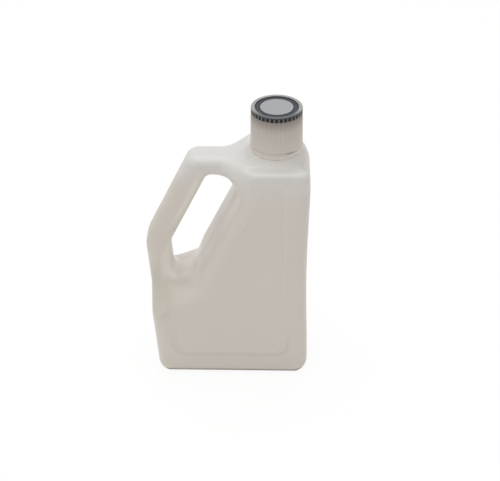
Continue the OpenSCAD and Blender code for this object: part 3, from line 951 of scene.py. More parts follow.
@dataclass
class BlownBottle:
    """The blown shell with handle, label panel and neck, as rings of sections around the finger gap."""

    # Body
    half_width: float = 81.0
    half_depth: float = 45.0
    shoulder: float = 238.0
    shoulder_corner: float = 27.0
    wall: float = 1.8
    side_bow: float = 2.2
    lower_lean: float = 4.4
    base_width: float = 147.6
    base_hollow: float = 2.0
    base_fade: float = 5.0
    foot_width: float = 9.0
    base_corner: float = 11.0
    heel_depth: float = 8.0
    side_edge: float = 18.0
    base_edge: float = 22.0
    edge_depth: float = 18.0
    round_share: float = 0.8
    least_radius: float = 2.0
    # Handle and finger gap
    handle_width: float = 24.4
    half_handle: float = 17.0
    handle_corner: float = 11.0
    bridge: float = 20.5
    bridge_edge_depth: float = 11.0
    slant: float = 26.0
    bend_height: float = 134.0
    bend_radius: float = 47.0
    grip_edge_share: float = 0.37
    lower_edge_share: float = 0.46
    bridge_edge_share: float = 0.36
    finger_gap: float = 35.0
    gap_floor: float = 98.0
    gap_tilt: float = 16.0
    gap_corners: tuple[float, ...] = (9.0, 15.0, 10.0, 8.0)
    gap_bridge_share: float = 0.45
    flank_edge: float = 14.0
    flank_edge_depth: float = 20.0
    growth: float = 0.7
    # Blends between handle and body
    shoulder_fade: float = 32.0
    shoulder_shift: float = 0.96
    root_fade: float = 27.0
    root_angle: float = -60.0
    blend_round: float = 0.2
    slope_shares: float = 1.6
    crease: Pair = (-46.0, 101.0)
    crease_radius: float = 30.0
    crease_fade: float = 15.0
    # Label panel
    panel_recess: float = 0.7
    panel_margin: float = 4.0
    panel_right: float = 57.2
    panel_foot: float = 30.0
    panel_left: float = 22.2
    panel_corner: float = 9.0
    panel_step: float = 14.0
    panel_fade: float = 14.0
    panel_slope: float = 2.4
    panel_least: float = 22.0
    panel_grow: float = 26.0
    # Crisp shoulder edge
    crisp_from: Pair = (10.0, 214.0)
    crisp_over: Pair = (12.0, 20.0)
    crispness: float = 0.46
    # Neck
    neck_axis: float = 48.0
    neck_radius: float = 20.4
    neck_root: float = 6.0
    mouth_radius: float = 17.8
    mouth_round: float = 0.7
    foot_rise: float = 5.4
    dome_radius: float = 33.0
    cap_radius: float = 24.9
    lip: float = 274.2
    band_height: float = 5.4
    bead_height: float = 3.0
    bead_rise: float = 1.2
    thread_rise: float = 1.05
    # Parting line and shading
    flash_height: float = 0.12
    flash_width: float = 0.45
    sharp_degrees: float = 38.0

    def __post_init__(self) -> None:
        """Works out the outlines of the body, of the finger gap and of the label panel."""
        grip, lower = 180.0 - self.slant, -180.0 + self.lower_lean
        centre = np.array([self.bend_radius - self.half_width, self.bend_height])
        grip_reach = float(centre @ unit(grip)) + self.bend_radius
        lower_reach = float(centre @ unit(lower)) + self.bend_radius
        self.outline = RoundedOutline(
            np.array([grip, 90.0, 0.0, -90.0, lower]),
            np.array([grip_reach, self.shoulder, self.half_width, 0.0, lower_reach]),
            np.array([self.handle_corner, self.shoulder_corner, self.base_corner, self.base_corner,
                      self.bend_radius]),
        )
        gap_grip = grip_reach - self.handle_width
        self.gap_flank = self.finger_gap - gap_grip
        flank, floor = -self.slant, self.gap_tilt - 90.0
        along, up = unit(flank)
        middle = self.finger_gap / 2.0 - gap_grip
        floor_point = np.array([(middle - self.gap_floor * up) / along, self.gap_floor])
        self.gap = RoundedOutline(
            np.array([grip, 90.0, flank, floor, lower]),
            np.array([gap_grip, self.shoulder - self.bridge, self.gap_flank,
                      float(floor_point @ unit(floor)), lower_reach - self.handle_width]),
            np.array([*self.gap_corners, self.bend_radius - self.handle_width]),
        )
        grip_edge = self.handle_width * self.grip_edge_share
        bridge_edge = self.bridge * self.bridge_edge_share
        self.outer_edges = np.array([grip_edge, bridge_edge, self.side_edge, self.base_edge,
                                     self.handle_width * self.lower_edge_share])
        self.edge_depths = np.array([self.edge_depth, self.bridge_edge_depth, self.edge_depth,
                                     self.heel_depth, self.edge_depth])
        self.gap_edges = np.array([grip_edge, self.bridge * self.gap_bridge_share, self.flank_edge,
                                   grip_edge, grip_edge])
        self.panel_sides = np.array([90.0, 0.0, -90.0, lower])
        self.panel_reaches = np.array([self.shoulder - bridge_edge - self.panel_margin, self.panel_right,
                                       -self.panel_foot, lower_reach - self.panel_left])
        self.root = self.gap.points(np.array([6.0]))[0]

    @staticmethod
    def stations(density: float) -> tuple[np.ndarray, np.ndarray]:
        """Places on the outline and on the gap that belong together, going once round.

        Args:
            density: Factor on the number of steps.

        Returns:
            Two arrays of places.
        """
        outer = [0, 1, 2, 2.4, 2.99, 3, 4, 5, 6, 7, 8, 8.85, 9, 10]
        inner = [0, 1, 2, 3, 4, 4.06, 4.2, 5, 5.6, 6.7, 7, 8, 9, 10]
        steps = [8, 5, 4, 11, 2, 6, 12, 5, 10, 6, 14, 5, 8]
        counts = [max(1, round(s * density)) for s in steps]
        place = np.concatenate([k + np.arange(c) / c for k, c in enumerate(counts)])
        knots = np.arange(len(outer))
        return np.interp(place, knots, outer), np.interp(place, knots, inner)

    @staticmethod
    def side_values(values: np.ndarray, places: np.ndarray) -> np.ndarray:
        """Values that hold along the sides of the outline and change evenly over its corners."""
        around = np.repeat(np.append(values, values[0]), 2)[:-1]
        return np.interp(places, np.arange(len(around)), around)

    def blend(self, p: np.ndarray, skin: float) -> np.ndarray:
        """Share of full depth at places of the front view.

        The larger of two smooth ramps, one across the flank of the gap and one across the foot of the handle.

        Args:
            p: Points in the front view.
            skin: Distance that the surface lies inside the outer one.

        Returns:
            Shares from 0 on the handle to 1 on the body.
        """
        lead = self.slope_shares * skin
        s = (p @ unit(-self.slant) - self.gap_flank - lead) / self.shoulder_fade + self.shoulder_shift
        r = ((p - self.root) @ unit(self.root_angle) - lead) / self.root_fade + 0.5
        return ease((s + r + np.hypot(s - r, self.blend_round)) / 2.0)

    def depth(self, p: np.ndarray, skin: float) -> np.ndarray:
        """Half depth at places of the front view: from half the handle to half the body."""
        return self.half_handle + (self.half_depth - self.half_handle) * self.blend(p, skin) - skin

    def bowed(self, p: np.ndarray) -> np.ndarray:
        """Outline points with the plain side bowed inwards by a squared sine over the height.

        Args:
            p: Points of the outline.

        Returns:
            The moved points.
        """
        e = np.clip(p[:, 0] / self.half_width, 0, 1)
        s = np.sin(np.pi * np.clip(p[:, 1] / self.shoulder, 0, 1))
        return p - np.stack([self.side_bow * e**2 * s**2, np.zeros(len(p))], -1)

    def roll(self, start: np.ndarray, end: np.ndarray, fall: np.ndarray | float, power: np.ndarray,
             a: np.ndarray, skin: float) -> tuple[np.ndarray, np.ndarray]:
        """Quarter of a super-ellipse from a side to the front: (1 - cos^p) along, (1 - sin^p) down.

        Args:
            start: Points on the side.
            end: Points where the flat front begins.
            fall: Depth of the roll.
            power: Power p of each section.
            a: Angles of the steps.
            skin: Distance that the surface lies inside the outer one.

        Returns:
            Points in the front view and their depths.
        """
        cos, sin = np.cos(a)[None].clip(0.0), np.sin(a)[None]
        p = start[:, None] + (end - start)[:, None] * (1.0 - cos ** power[:, None])[..., None]
        h = self.depth(p, skin)
        return p, h - np.minimum(fall, self.round_share * h) * (1.0 - sin ** power[:, None])

    def sections(self, skin: float, floor_skin: float, density: float, turns: int, rows: int,
                 counts: tuple[int, ...], panel: bool) -> tuple[np.ndarray, np.ndarray]:
        """Front half of every ring: gap edge, roll, flat front, roll, outline.

        Args:
            skin: Distance that the surface lies inside the outer one.
            floor_skin: The same at the base.
            density: Factor on the stations.
            turns: Steps of each roll.
            rows: Rows on each straight side between the parting line and the roll.
            counts: Steps between the knots across the flat front.
            panel: Whether the label panel is sunk in and the shoulder edge is crisp.

        Returns:
            Points of m by n by 3 with depth as y, and the share of panel depth at each.
        """
        outer, inner = self.stations(density)
        steps = np.array([skin, skin, skin, floor_skin, skin])
        trim = 1.0 - 2.0 * skin / self.handle_width
        out = self.outline.inset(steps, self.least_radius)
        gap = self.gap.outset(np.full(len(steps), skin), self.growth)
        o = self.bowed(out.points(outer))
        oi = self.bowed(out.inset(self.outer_edges * trim, self.least_radius).points(outer))
        g = gap.points(inner)
        gi = gap.outset(self.gap_edges * trim, self.growth).points(inner)
        edge = self.side_values(self.edge_depths, outer)
        crowding = 1.5 if panel else 1.0
        a = np.pi / 2.0 * np.linspace(0.0, 1.0, turns + 1) ** crowding
        crisp = ease((o - self.crisp_from) / self.crisp_over).prod(1) * panel
        gap_p, gap_h = self.roll(g, gi, self.flank_edge_depth, np.ones(len(g)), a, skin)
        out_p, out_h = self.roll(o, oi, edge[:, None], 1.0 - self.crispness * crisp, a, skin)

        width = np.linalg.norm(oi - gi, axis=1)
        far = self.panel_end(gi, oi)
        margin, step = self.panel_margin / width, self.panel_step / width
        widest, slope_share, first, second, third, fourth = 0.06, 0.2, 0.1, 0.45, 0.5, 0.7
        slope = np.minimum(np.minimum(self.panel_slope / width, widest), slope_share * far)
        knots = np.stack([0.0 * far, np.minimum(margin, first * far), np.minimum(margin + step, second * far),
                          third * far, fourth * far, far - slope, far, np.ones_like(far)], -1)
        place = np.concatenate([k + np.arange(c) / c for k, c in enumerate(counts)])[1:]
        k = place.astype(int)
        f = place - k
        e = knots[:, k] * (1.0 - f) + knots[:, k + 1] * f
        flat_p = gi[:, None] + (oi - gi)[:, None] * e[..., None]
        flat_h = self.depth(flat_p, skin)
        full = ease(1.0 - (self.half_depth - skin - flat_h) / self.panel_fade)
        length = ease((far * width - self.panel_least) / self.panel_grow)[:, None]
        sunk = ease(np.interp(place, [1, 2, 5, 6], [0, 1, 1, 0])) * full * length * panel

        row_power = 1.8
        ups = np.concatenate([[0.0], 1.0 - (1.0 - np.linspace(0.0, 1.0, rows + 1)[1:-1]) ** row_power])
        thin = np.where(ups > 0, self.flash_width, 0.0)
        gap_y, out_y = (np.maximum(ups * h[:, :1], thin) for h in (gap_h, out_h))
        gap_y[:, 1], out_y[:, 1] = self.flash_width, self.flash_width
        g_rows, o_rows = (np.repeat(line[:, None], rows, 1) for line in (g, o))
        xz = np.concatenate([g_rows, gap_p, flat_p, out_p[:, ::-1], o_rows], 1)
        y = np.concatenate([gap_y, gap_h, flat_h, out_h[:, ::-1], out_y[:, ::-1]], 1)
        share = np.zeros_like(y)
        share[:, rows + turns + 1:rows + turns + 1 + len(place)] = sunk
        return np.stack([xz[..., 0], y, xz[..., 1]], -1), share

    def panel_end(self, start: np.ndarray, end: np.ndarray) -> np.ndarray:
        """Share of every section at which it leaves the label panel.

        Inside it, the distances d outside its sides keep to |max(d + r, 0)| < r, with r its corner radius.

        Args:
            start: Points beside the gap.
            end: Points beside the outline.

        Returns:
            One share for each section, kept a little away from both of its ends.
        """
        steps, least, most = 401, 0.12, 0.985
        shares = np.linspace(0.0, 1.0, steps)
        p = start[:, None] + (end - start)[:, None] * shares[None, :, None]
        d = p @ unit(self.panel_sides).T - self.panel_reaches
        outside = np.linalg.norm(np.maximum(d + self.panel_corner, 0.0), axis=-1) > self.panel_corner
        first = np.where(outside.any(1), outside.argmax(1), len(shares) - 1)
        return np.clip(shares[first], least, most)

    def crease_distance(self, half: np.ndarray) -> np.ndarray:
        """Distance from the crease at the floor of the gap, in the front view."""
        return np.hypot(half[..., 0] - self.crease[0], half[..., 2] - self.crease[1])

    def relaxed(self, half: np.ndarray, rounds: tuple[int, int]) -> np.ndarray:
        """Evens out the foot of the handle and the shoulder, then only the floor of the gap.

        Each round moves a point towards the mean of its four neighbours by its weight.

        Args:
            half: Points of the front half.
            rounds: Number of rounds for both and for the floor.

        Returns:
            The moved points.
        """
        pace, blend = 0.5, self.blend(half[..., [0, 2]], 0.0)
        fold = pace * ease((self.crease_radius - self.crease_distance(half)) / self.crease_fade)
        even = np.maximum(fold, pace * np.clip(4.0 * blend * (1.0 - blend), 0, 1))
        weights = np.stack([even, fold])[..., None]
        weights[:, :, :2], weights[:, :, -2:] = 0.0, 0.0
        for weight in np.repeat(weights, rounds, 0):
            mean = (np.roll(half, 1, 0) + np.roll(half, -1, 0)) / 4.0
            mean[:, 1:-1] += (half[:, 2:] + half[:, :-2]) / 4.0
            mean[:, [0, -1]] = half[:, [0, -1]]
            half = half + weight * (mean - half)
        return half

    def edged(self, half: np.ndarray) -> np.ndarray:
        """Sinks a shallow groove into the shoulder behind its front edge, with a swell at its left end.

        Args:
            half: Points of a half with depth as y, which are moved in place.

        Returns:
            The same points.
        """
        groove_y, groove_width, groove_depth = 34.5, 2.2, 0.5
        swell_y, swell_width, swell_rise = 29.5, 2.4, 0.4
        start, start_fade, end, end_fade, swell_end, swell_fade = 14.0, 8.0, 72.0, 6.0, 40.0, 10.0
        below, top_fade = 3.0, 2.5
        x, y = half[..., 0], half[..., 1]
        top = ease((half[..., 2] - self.shoulder + below) / top_fade)
        run = ease((x - start) / start_fade) * ease((end - x) / end_fade)
        groove = groove_depth * np.exp(-(((y - groove_y) / groove_width) ** 2)) * run
        swell = swell_rise * np.exp(-(((y - swell_y) / swell_width) ** 2)) * run
        half[..., 2] += top * (swell * ease((swell_end - x) / swell_fade) - groove)
        return half

    def squared(self, half: np.ndarray) -> np.ndarray:
        """Squares the front of the right-hand shoulder corner, which stays round further back.

        A point at angle a moves out from the corner's centre by the factor (cos^n a + sin^n a) ^ (-1 / n).

        Args:
            half: Points of a half with depth as y, which are moved in place.

        Returns:
            The same points.
        """
        r, n, back, fade = self.shoulder_corner, 7.0, 16.0, 22.0
        x, z = half[..., 0] - self.half_width + r, half[..., 2] - self.shoulder + r
        a = np.arctan2(np.maximum(z, 0.0), np.maximum(x, 1e-6))
        factor = (np.cos(a) ** n + np.sin(a) ** n) ** (-1.0 / n) - 1.0
        share = factor * ease((half[..., 1] - back) / fade) * (x > 0) * (z > 0)
        half[..., 0] += x * share
        half[..., 2] += z * share
        return half

    def domed(self, half: np.ndarray) -> np.ndarray:
        """Raises the shoulder to the foot of the neck.

        A point moves towards that height by an eased share of its distance from the axis, more if it is high.

        Args:
            half: Points of a half with depth as y, which are moved in place.

        Returns:
            The same points.
        """
        play, corner_share = 0.3, 0.6
        foot = self.shoulder + self.foot_rise
        away = np.hypot(half[..., 0] - self.neck_axis, half[..., 1])
        near = ease((self.dome_radius - away) / (self.dome_radius - self.cap_radius - play))
        above = half[..., 2] - self.shoulder + self.shoulder_corner
        high = ease(above / (corner_share * self.shoulder_corner))
        half[..., 2] += (foot - half[..., 2]) * near * high
        return half

    def dished(self, half: np.ndarray) -> np.ndarray:
        """Lifts the middle of the base: an eased rise over the distance inside a round-cornered rectangle.

        Args:
            half: Points of a half with depth as y, which are moved in place.

        Returns:
            The same points.
        """
        low, r = 0.5, self.foot_width
        left, right = self.half_width - self.base_width + self.base_corner, self.half_width - self.base_corner
        qx = np.abs(half[..., 0] - (left + right) / 2.0) - ((right - left) / 2.0 - 2.0 * r)
        qy = np.abs(half[..., 1]) - (self.half_depth - self.heel_depth - 2.0 * r)
        far = np.hypot(np.maximum(qx, 0), np.maximum(qy, 0)) + np.minimum(np.maximum(qx, qy), 0) - r
        half[..., 2] += self.base_hollow * ease(-far / self.base_fade) * (half[..., 2] < low)
        return half

    def flashed(self, half: np.ndarray) -> np.ndarray:
        """Raises the parting line a little along both closed edges, square to them in the front view.

        Args:
            half: Points of a half with depth as y, which are moved in place.

        Returns:
            The same points.
        """
        start, fade = 1.0, 6.0
        for column, sign in ((0, -1.0), (-1, 1.0)):
            line = half[:, column][:, [0, 2]]
            run = np.roll(line, -1, 0) - np.roll(line, 1, 0)
            out = sign * np.stack([-run[:, 1], run[:, 0]], -1) / np.linalg.norm(run, axis=1)[:, None]
            step = self.flash_height * ease((line[:, 1] - start) / fade)[:, None] * out
            half[:, column, 0] += step[:, 0]
            half[:, column, 2] += step[:, 1]
        return half

    @staticmethod
    def closed(front: np.ndarray, back: np.ndarray) -> np.ndarray:
        """Joins the front and the back, both given with depth as y, to whole rings."""
        return np.concatenate([front * np.array([1.0, -1.0, 1.0]), back[:, -2:0:-1]], 1)

    def outer_skin(self) -> Mesh:
        """The whole outside in one surface, with the panel, the parting line, the dome and the dished base.

        The flat faces sink by a slow wave of two sines.
        """
        wave_depth, flat_from, flat_over = 0.12, 41.0, 4.0
        x_length, x_shift, z_length, z_shift = 19.0, 0.6, 27.0, 0.4
        counts = (3, 4, 8, 5, 9, 5, 4)
        half, sunk = self.sections(0.0, 0.0, density=4.0, turns=12, rows=8, counts=counts, panel=True)
        half = self.relaxed(half, rounds=(20, 60))
        wave = np.sin(half[..., 0] / x_length + x_shift) * np.sin(half[..., 2] / z_length + z_shift)
        flat = ease((half[..., 1] - flat_from) / flat_over)
        half[..., 1] -= self.panel_recess * sunk + wave_depth * flat * (1.0 + wave)
        halves = (self.squared(half.copy()), half)
        front, back = (self.flashed(self.dished(self.domed(self.edged(h)))) for h in halves)
        low, high = (np.array(corner) / MM for corner in CAD_BOX)
        return Mesh.ring_grid(np.clip(self.closed(front, back), low, high))

    def room(self) -> Mesh:
        """The room inside: the same sections one wall further in, shallower under the floor of the gap."""
        shallow, radius, fade = 0.12, 46.0, 20.0
        floor, counts = self.wall + self.base_hollow, (1, 1, 4, 3, 4, 1, 1)
        half, _ = self.sections(self.wall, floor, density=2.0, turns=5, rows=5, counts=counts, panel=False)
        half[..., 1] *= 1.0 - shallow * ease((radius - self.crease_distance(half)) / fade)
        return Mesh.ring_grid(self.closed(half, half))

    def neck(self) -> Mesh:
        """Solid neck with bead, two-start thread and rounded lip; radius = profile plus ridge."""
        foot, r = self.shoulder + self.foot_rise, self.neck_radius
        bead, over = foot + self.band_height, foot + self.band_height + self.bead_height
        root, bead_up, bead_down = foot - self.neck_root, 0.75, 1.5
        lip_round, lip_start, lip_flat, thread_start = 1.0, 1.2, 1.6, 4.0
        z = np.concatenate([span(root + 1.0, bead, 8), span(bead, over, 8),
                            span(over, self.lip - lip_start, 64)])
        swell = self.bead_rise * ease((z - bead) / bead_up) * ease((over - z) / bead_down)
        cos, sin = quarter(7)
        radius, height = profile(
            (0.0, root), (r, root), (r + swell, z), (r - lip_round + cos, self.lip - lip_round + sin),
            (r - lip_flat, self.lip), (0.0, self.lip))
        angle = span(0.0, FULL_TURN, 192)
        ridge = thread_ridge(height, angle, bead + thread_start, self.lip - lip_flat, 0.0)
        ridge[[0, 1, -1, -2]] = 0.0
        return Mesh.lathe(Mesh.turned(radius + self.thread_rise * ridge, height, angle, self.neck_axis))

    def mouth(self) -> Mesh:
        """Bore of the neck, opened by a small round at the lip, as a tool that cuts."""
        below, half_way, above, flare = 4.0, 12.0, 1.0, 1.2
        r, e, low, over = self.mouth_radius, self.mouth_round, self.shoulder - below, self.lip + above
        cos, sin = quarter(6)
        radius, height = profile(
            (0.0, low), (r, low), (r, self.lip - half_way), (r + e * (1.0 - cos), self.lip - e + e * sin),
            (r + flare, over), (0.0, over))
        return Mesh.lathe(Mesh.turned(radius, height, span(0.0, FULL_TURN, 128), self.neck_axis))

    def build(self) -> bpy.types.Object:
        """Joins the skin and the neck, cuts the room and the mouth, and gives the shell."""
        shell = self.outer_skin().to_object("blown_bottle")
        carve(shell, [("UNION", self.neck().to_object("neck_tool")),
                      ("DIFFERENCE", self.room().to_object("room_tool")),
                      ("DIFFERENCE", self.mouth().to_object("mouth_tool"))])
        shade_smooth(shell, self.sharp_degrees)
        return shell

    def dress(self, shell: bpy.types.Object, finish: MilkyShell) -> None:
        """Gives the shell its finish and its place."""
        place(shell, finish.material(), Body.BOTTLE, Slot.SHELL, "bottle")


# Closure


@dataclass
class TamperBand:
    """Loose ring left on the neck, with the stubs of its broken bridges on the upper edge."""

    axis: float = 48.0
    bottom: float = 243.4
    height: float = 5.65
    outer: float = 24.9
    inner: float = 21.0
    edge: float = 0.2
    stubs: int = 12
    stub_height: float = 0.05
    stub_width: float = 0.9
    sag: float = 0.8
    sag_angle: float = -58.0
    sag_reach: float = 16.0
    sag_fade: float = 12.0
    stub_fade: float = 0.4
    upper_part: Pair = (1.5, 1.2)
    outer_part: Pair = (2.2, 0.8)

    def build(self) -> bpy.types.Object:
        """A rounded loop turned about the axis; the top edge adds stubs and a local sag over the angle."""
        angle = span(0.0, FULL_TURN, 720)
        cos, sin = quarter(5)
        e, low, top = self.edge, self.bottom + self.edge, self.bottom + self.height - self.edge
        out, bore = self.outer - e, self.inner + e
        r, z = profile((out + e * sin, low - e * cos), (out + e * cos, top + e * sin),
                       (bore - e * sin, top + e * cos), (bore - e * cos, low - e * sin))
        pitch = FULL_TURN / self.stubs
        off = np.abs((angle + pitch / 2.0) % pitch - pitch / 2.0) * self.outer
        stub = self.stub_height * ease((self.stub_width - off) / self.stub_fade)
        away = np.degrees(np.abs(np.angle(np.exp(1j * (angle - math.radians(self.sag_angle))))))
        sag = self.sag * ease((self.sag_reach - away) / self.sag_fade)
        under, upper_fade = self.upper_part
        inside, outer_fade = self.outer_part
        high = ease((z - (self.bottom + self.height - under)) / upper_fade)
        outside = ease((r - (self.outer - inside)) / outer_fade)
        grid = Mesh.turned(r, z + high * (outside * stub - sag), angle, self.axis)
        return Mesh.ring_grid(grid).to_object("broken_band")

    def dress(self, obj: bpy.types.Object, material: bpy.types.Material) -> None:
        """Gives the band its finish and its place."""
        place(obj, material, Body.BOTTLE, Slot.CLOSURE, "tamper_band")


@dataclass
class ScrewCap:
    """Ribbed skirt with its deck and thread, the keyed cover on top and the disc let into it."""

    axis: float = 48.0
    bottom: float = 249.2
    top: float = 285.8
    outer: float = 24.9
    taper: float = 0.55
    bore: float = 22.1
    deck_under: float = 276.0
    deck_over: float = 278.2
    well: float = 21.2
    ribs: int = 36
    groove_depth: float = 0.4
    groove_radius: float = 1.4
    thread_rise: float = 1.1
    key_height: float = 3.3
    key_depth: float = 1.5
    key_share: float = 0.64
    play: float = 0.15
    cover: float = 1.2
    drop: float = 2.4
    plug: float = 2.0
    rim_share: float = 0.854
    disc_share: float = 0.65
    disc_under: float = 1.8

    def __post_init__(self) -> None:
        """Works out the radii at the top and the width of a key."""
        self.top_radius = self.outer - self.taper
        self.disc_radius = self.top_radius * self.disc_share
        self.pitch = FULL_TURN * self.top_radius / self.ribs
        self.half_key = self.pitch * self.key_share / 2.0

    def columns(self, *places: float) -> tuple[np.ndarray, np.ndarray]:
        """Repeats places beside one rib round the whole cap.

        Args:
            places: Arc lengths from the middle of a key, on one side, without the last at half the pitch.

        Returns:
            Angles in radians, and the signed arc length of each from its nearest key.
        """
        one = np.unique(np.concatenate([[-self.pitch / 2.0], np.negative(places), places]))
        arcs = np.tile(one, self.ribs)
        middle = np.repeat(np.arange(self.ribs), len(one)) * FULL_TURN / self.ribs
        return middle + arcs / self.top_radius, arcs

    def shell(self) -> bpy.types.Object:
        """Skirt and deck in one lathe surface, whose radius the grooves, slots and thread change."""
        slot, slot_z = self.half_key + self.play, self.top - self.key_height - self.play
        slot_floor = self.top_radius - self.key_depth - self.play
        angle, arc = self.columns(0.0, 0.25, 0.5, 0.75, 0.95, 1.08, slot - 0.01, slot + 0.01, 1.6, 1.85)
        cos, sin = quarter(5)
        up = np.concatenate([span(self.bottom + 0.4, slot_z - 0.03, 14), [slot_z - 0.02, slot_z + 0.02],
                             span(slot_z + 0.3, self.top - 0.25, 4)])
        skirt = self.outer - self.taper * (up - self.bottom) / (self.top - self.bottom)
        inner, edge, lip, bevel = 0.6, 0.2, 0.25, 0.3
        lead_z, lead_in, lead_out, foot = 1.2, 0.5, 0.8, self.outer - edge
        bore_z = np.linspace(self.deck_under - inner, self.bottom + lead_z, 60)
        r, z = profile(
            (0.0, self.deck_under), (self.bore - inner, self.deck_under),
            (self.bore - inner + inner * sin, self.deck_under - inner + inner * cos), (self.bore, bore_z),
            (self.bore + lead_in, self.bottom + edge), (self.bore + lead_out, self.bottom),
            (foot, self.bottom), (foot + edge * sin, self.bottom + edge - edge * cos), (skirt, up),
            (self.top_radius - lip + lip * cos, self.top - lip + lip * sin),
            (self.well + bevel, self.top), (self.well, self.top - bevel), (self.well, self.deck_over),
            (0.0, self.deck_over))
        round_bar = np.sqrt(np.maximum(self.groove_radius**2 - arc**2, 0.0))
        groove = round_bar - self.groove_radius + self.groove_depth
        shallow, full_from, full_over = 0.3, 6.0, 18.0
        deeper = ease((z - self.bottom - full_from) / full_over)
        outside = (r > self.outer - 1.0) * (shallow + (1.0 - shallow) * deeper)
        radius = r - np.maximum(groove, 0.0) * outside
        radius = np.where((np.abs(arc) < slot) & (z > slot_z) & (r > slot_floor), slot_floor, radius)
        inside = (np.abs(r - self.bore) < 0.01) & (z < self.deck_under)
        ends, shift = 3.0, 0.5
        ridge = thread_ridge(z, angle, self.bottom + ends, self.deck_under - ends, shift)
        grid = Mesh.turned(radius - self.thread_rise * ridge * inside, z, angle, self.axis)
        return Mesh.lathe(grid).to_object("ribbed_cap")

    def cover_piece(self) -> bpy.types.Object:
        """Cover in one lathe surface: rim, groove and pocket from the profile, keys from a drop."""
        side = self.half_key
        angle, arc = self.columns(0.0, 0.6, side - 0.15, side - 0.01, side + 0.01, 1.6)
        cos, sin = quarter(6)
        top, base, out, disc = self.top + self.cover, self.top, self.top_radius, self.disc_radius
        rim, ring, outer_round, rim_round, edge_round = out * self.rim_share, 1.0, 0.5, 0.3, 0.7
        wall, bevel, thin = 1.4, 0.2, 0.02
        plug, under = self.well - self.play, self.top - self.drop
        end, in_r = under - self.plug, out - self.key_depth
        r, z = profile(
            (0.0, top - self.disc_under), (disc, top - self.disc_under), (disc, top - 1.15),
            (disc + bevel, top - ring), (rim - outer_round, top - ring),
            (rim - outer_round * (1.0 - sin), top - outer_round * (1.0 + cos)),
            (rim + rim_round * (1.0 - cos), top - rim_round * (1.0 - sin)),
            (out - edge_round * (1.0 - sin), top - edge_round * (1.0 - cos)),
            (out, base + 0.1), (out, base + 2.0 * thin), (out, base), (in_r, base), (in_r - thin, base),
            (plug + thin, base), (plug, base - 0.05), (plug, end + bevel), (plug - bevel, end),
            (plug - wall + bevel, end), (plug - wall, end + bevel), (plug - wall, under), (0.0, under))
        low = (z <= base + 0.001) & (r > in_r - 0.01)
        key = ease((side - np.abs(arc)) / thin)
        grid = Mesh.turned(r, z - self.key_height * key * low, angle, self.axis)
        return Mesh.lathe(grid).to_object("keyed_cover")

    def disc_piece(self) -> bpy.types.Object:
        """Disc with rounded edge and a very slight dish, as one lathe surface."""
        edge, bevel, sunk, dish, dish_over = 0.5, 0.1, 0.3, 0.18, 4.0
        r0, top = self.disc_radius - self.play, self.top + self.cover - sunk
        bottom = self.top + self.cover - self.disc_under
        cos, sin = quarter(7)
        inside = np.linspace(r0 - edge, 0.0, 14)[1:]
        r, z = profile((0.0, bottom), (r0 - bevel, bottom), (r0, bottom + bevel),
                       (r0 - edge + edge * cos, top - edge + edge * sin),
                       (inside, top - dish * ease((r0 - edge - inside) / dish_over)))
        return Mesh.lathe(Mesh.turned(r, z, span(0.0, FULL_TURN, 180), self.axis)).to_object("cover_disc")

    def dress(self, shell: bpy.types.Object, cover: bpy.types.Object, disc: bpy.types.Object,
              closure: bpy.types.Material, slate: SlateCover, pale: TurnedDisc) -> None:
        """Gives the three pieces of the cap their finishes and their place.

        Args:
            shell: Skirt with its deck.
            cover: Cover with its keys.
            disc: Disc let into the cover.
            closure: Material that the skirt shares with the band.
            slate: Finish of the cover.
            pale: Finish of the disc.
        """
        place(shell, closure, Body.CAP, Slot.CLOSURE, "cap_shell")
        place(cover, slate.material(), Body.CAP, Slot.COVER, "cap_cover")
        place(disc, pale.material(), Body.CAP, Slot.DISC, "cap_disc")


@dataclass
class SealLiner:
    """Foamed wad between lip and deck, with two pressed rings under it."""

    axis: float = 48.0
    bottom: float = 274.2
    thickness: float = 1.8
    radius: float = 20.1
    edge: float = 0.35
    mark_rise: float = 0.12
    marks: tuple[tuple[float, float, float], ...] = ((18.9, 0.9, 0.4), (12.0, 0.4, 0.3))

    def build(self) -> bpy.types.Object:
        """A flat round plate; the underside rises by two narrow eased rings that the lip has pressed."""
        e, top, out = self.edge, self.bottom + self.thickness, self.radius - self.edge
        cos, sin = quarter(5)
        under = np.linspace(0.0, out, 70)
        rings = sum(ease((half - np.abs(under - middle)) / fade) for middle, half, fade in self.marks)
        r, z = profile((under, self.bottom + self.mark_rise * rings),
                       (out + e * sin[1:], self.bottom + e - e * cos[1:]),
                       (out + e * cos, top - e + e * sin), (0.0, top))
        return Mesh.lathe(Mesh.turned(r, z, span(0.0, FULL_TURN, 160), self.axis)).to_object("sealing_wad")

    def dress(self, obj: bpy.types.Object, finish: FoamWad) -> None:
        """Gives the wad its finish and its place."""
        place(obj, finish.material(), Body.LINER, Slot.WAD, "seal_liner")


# Studio


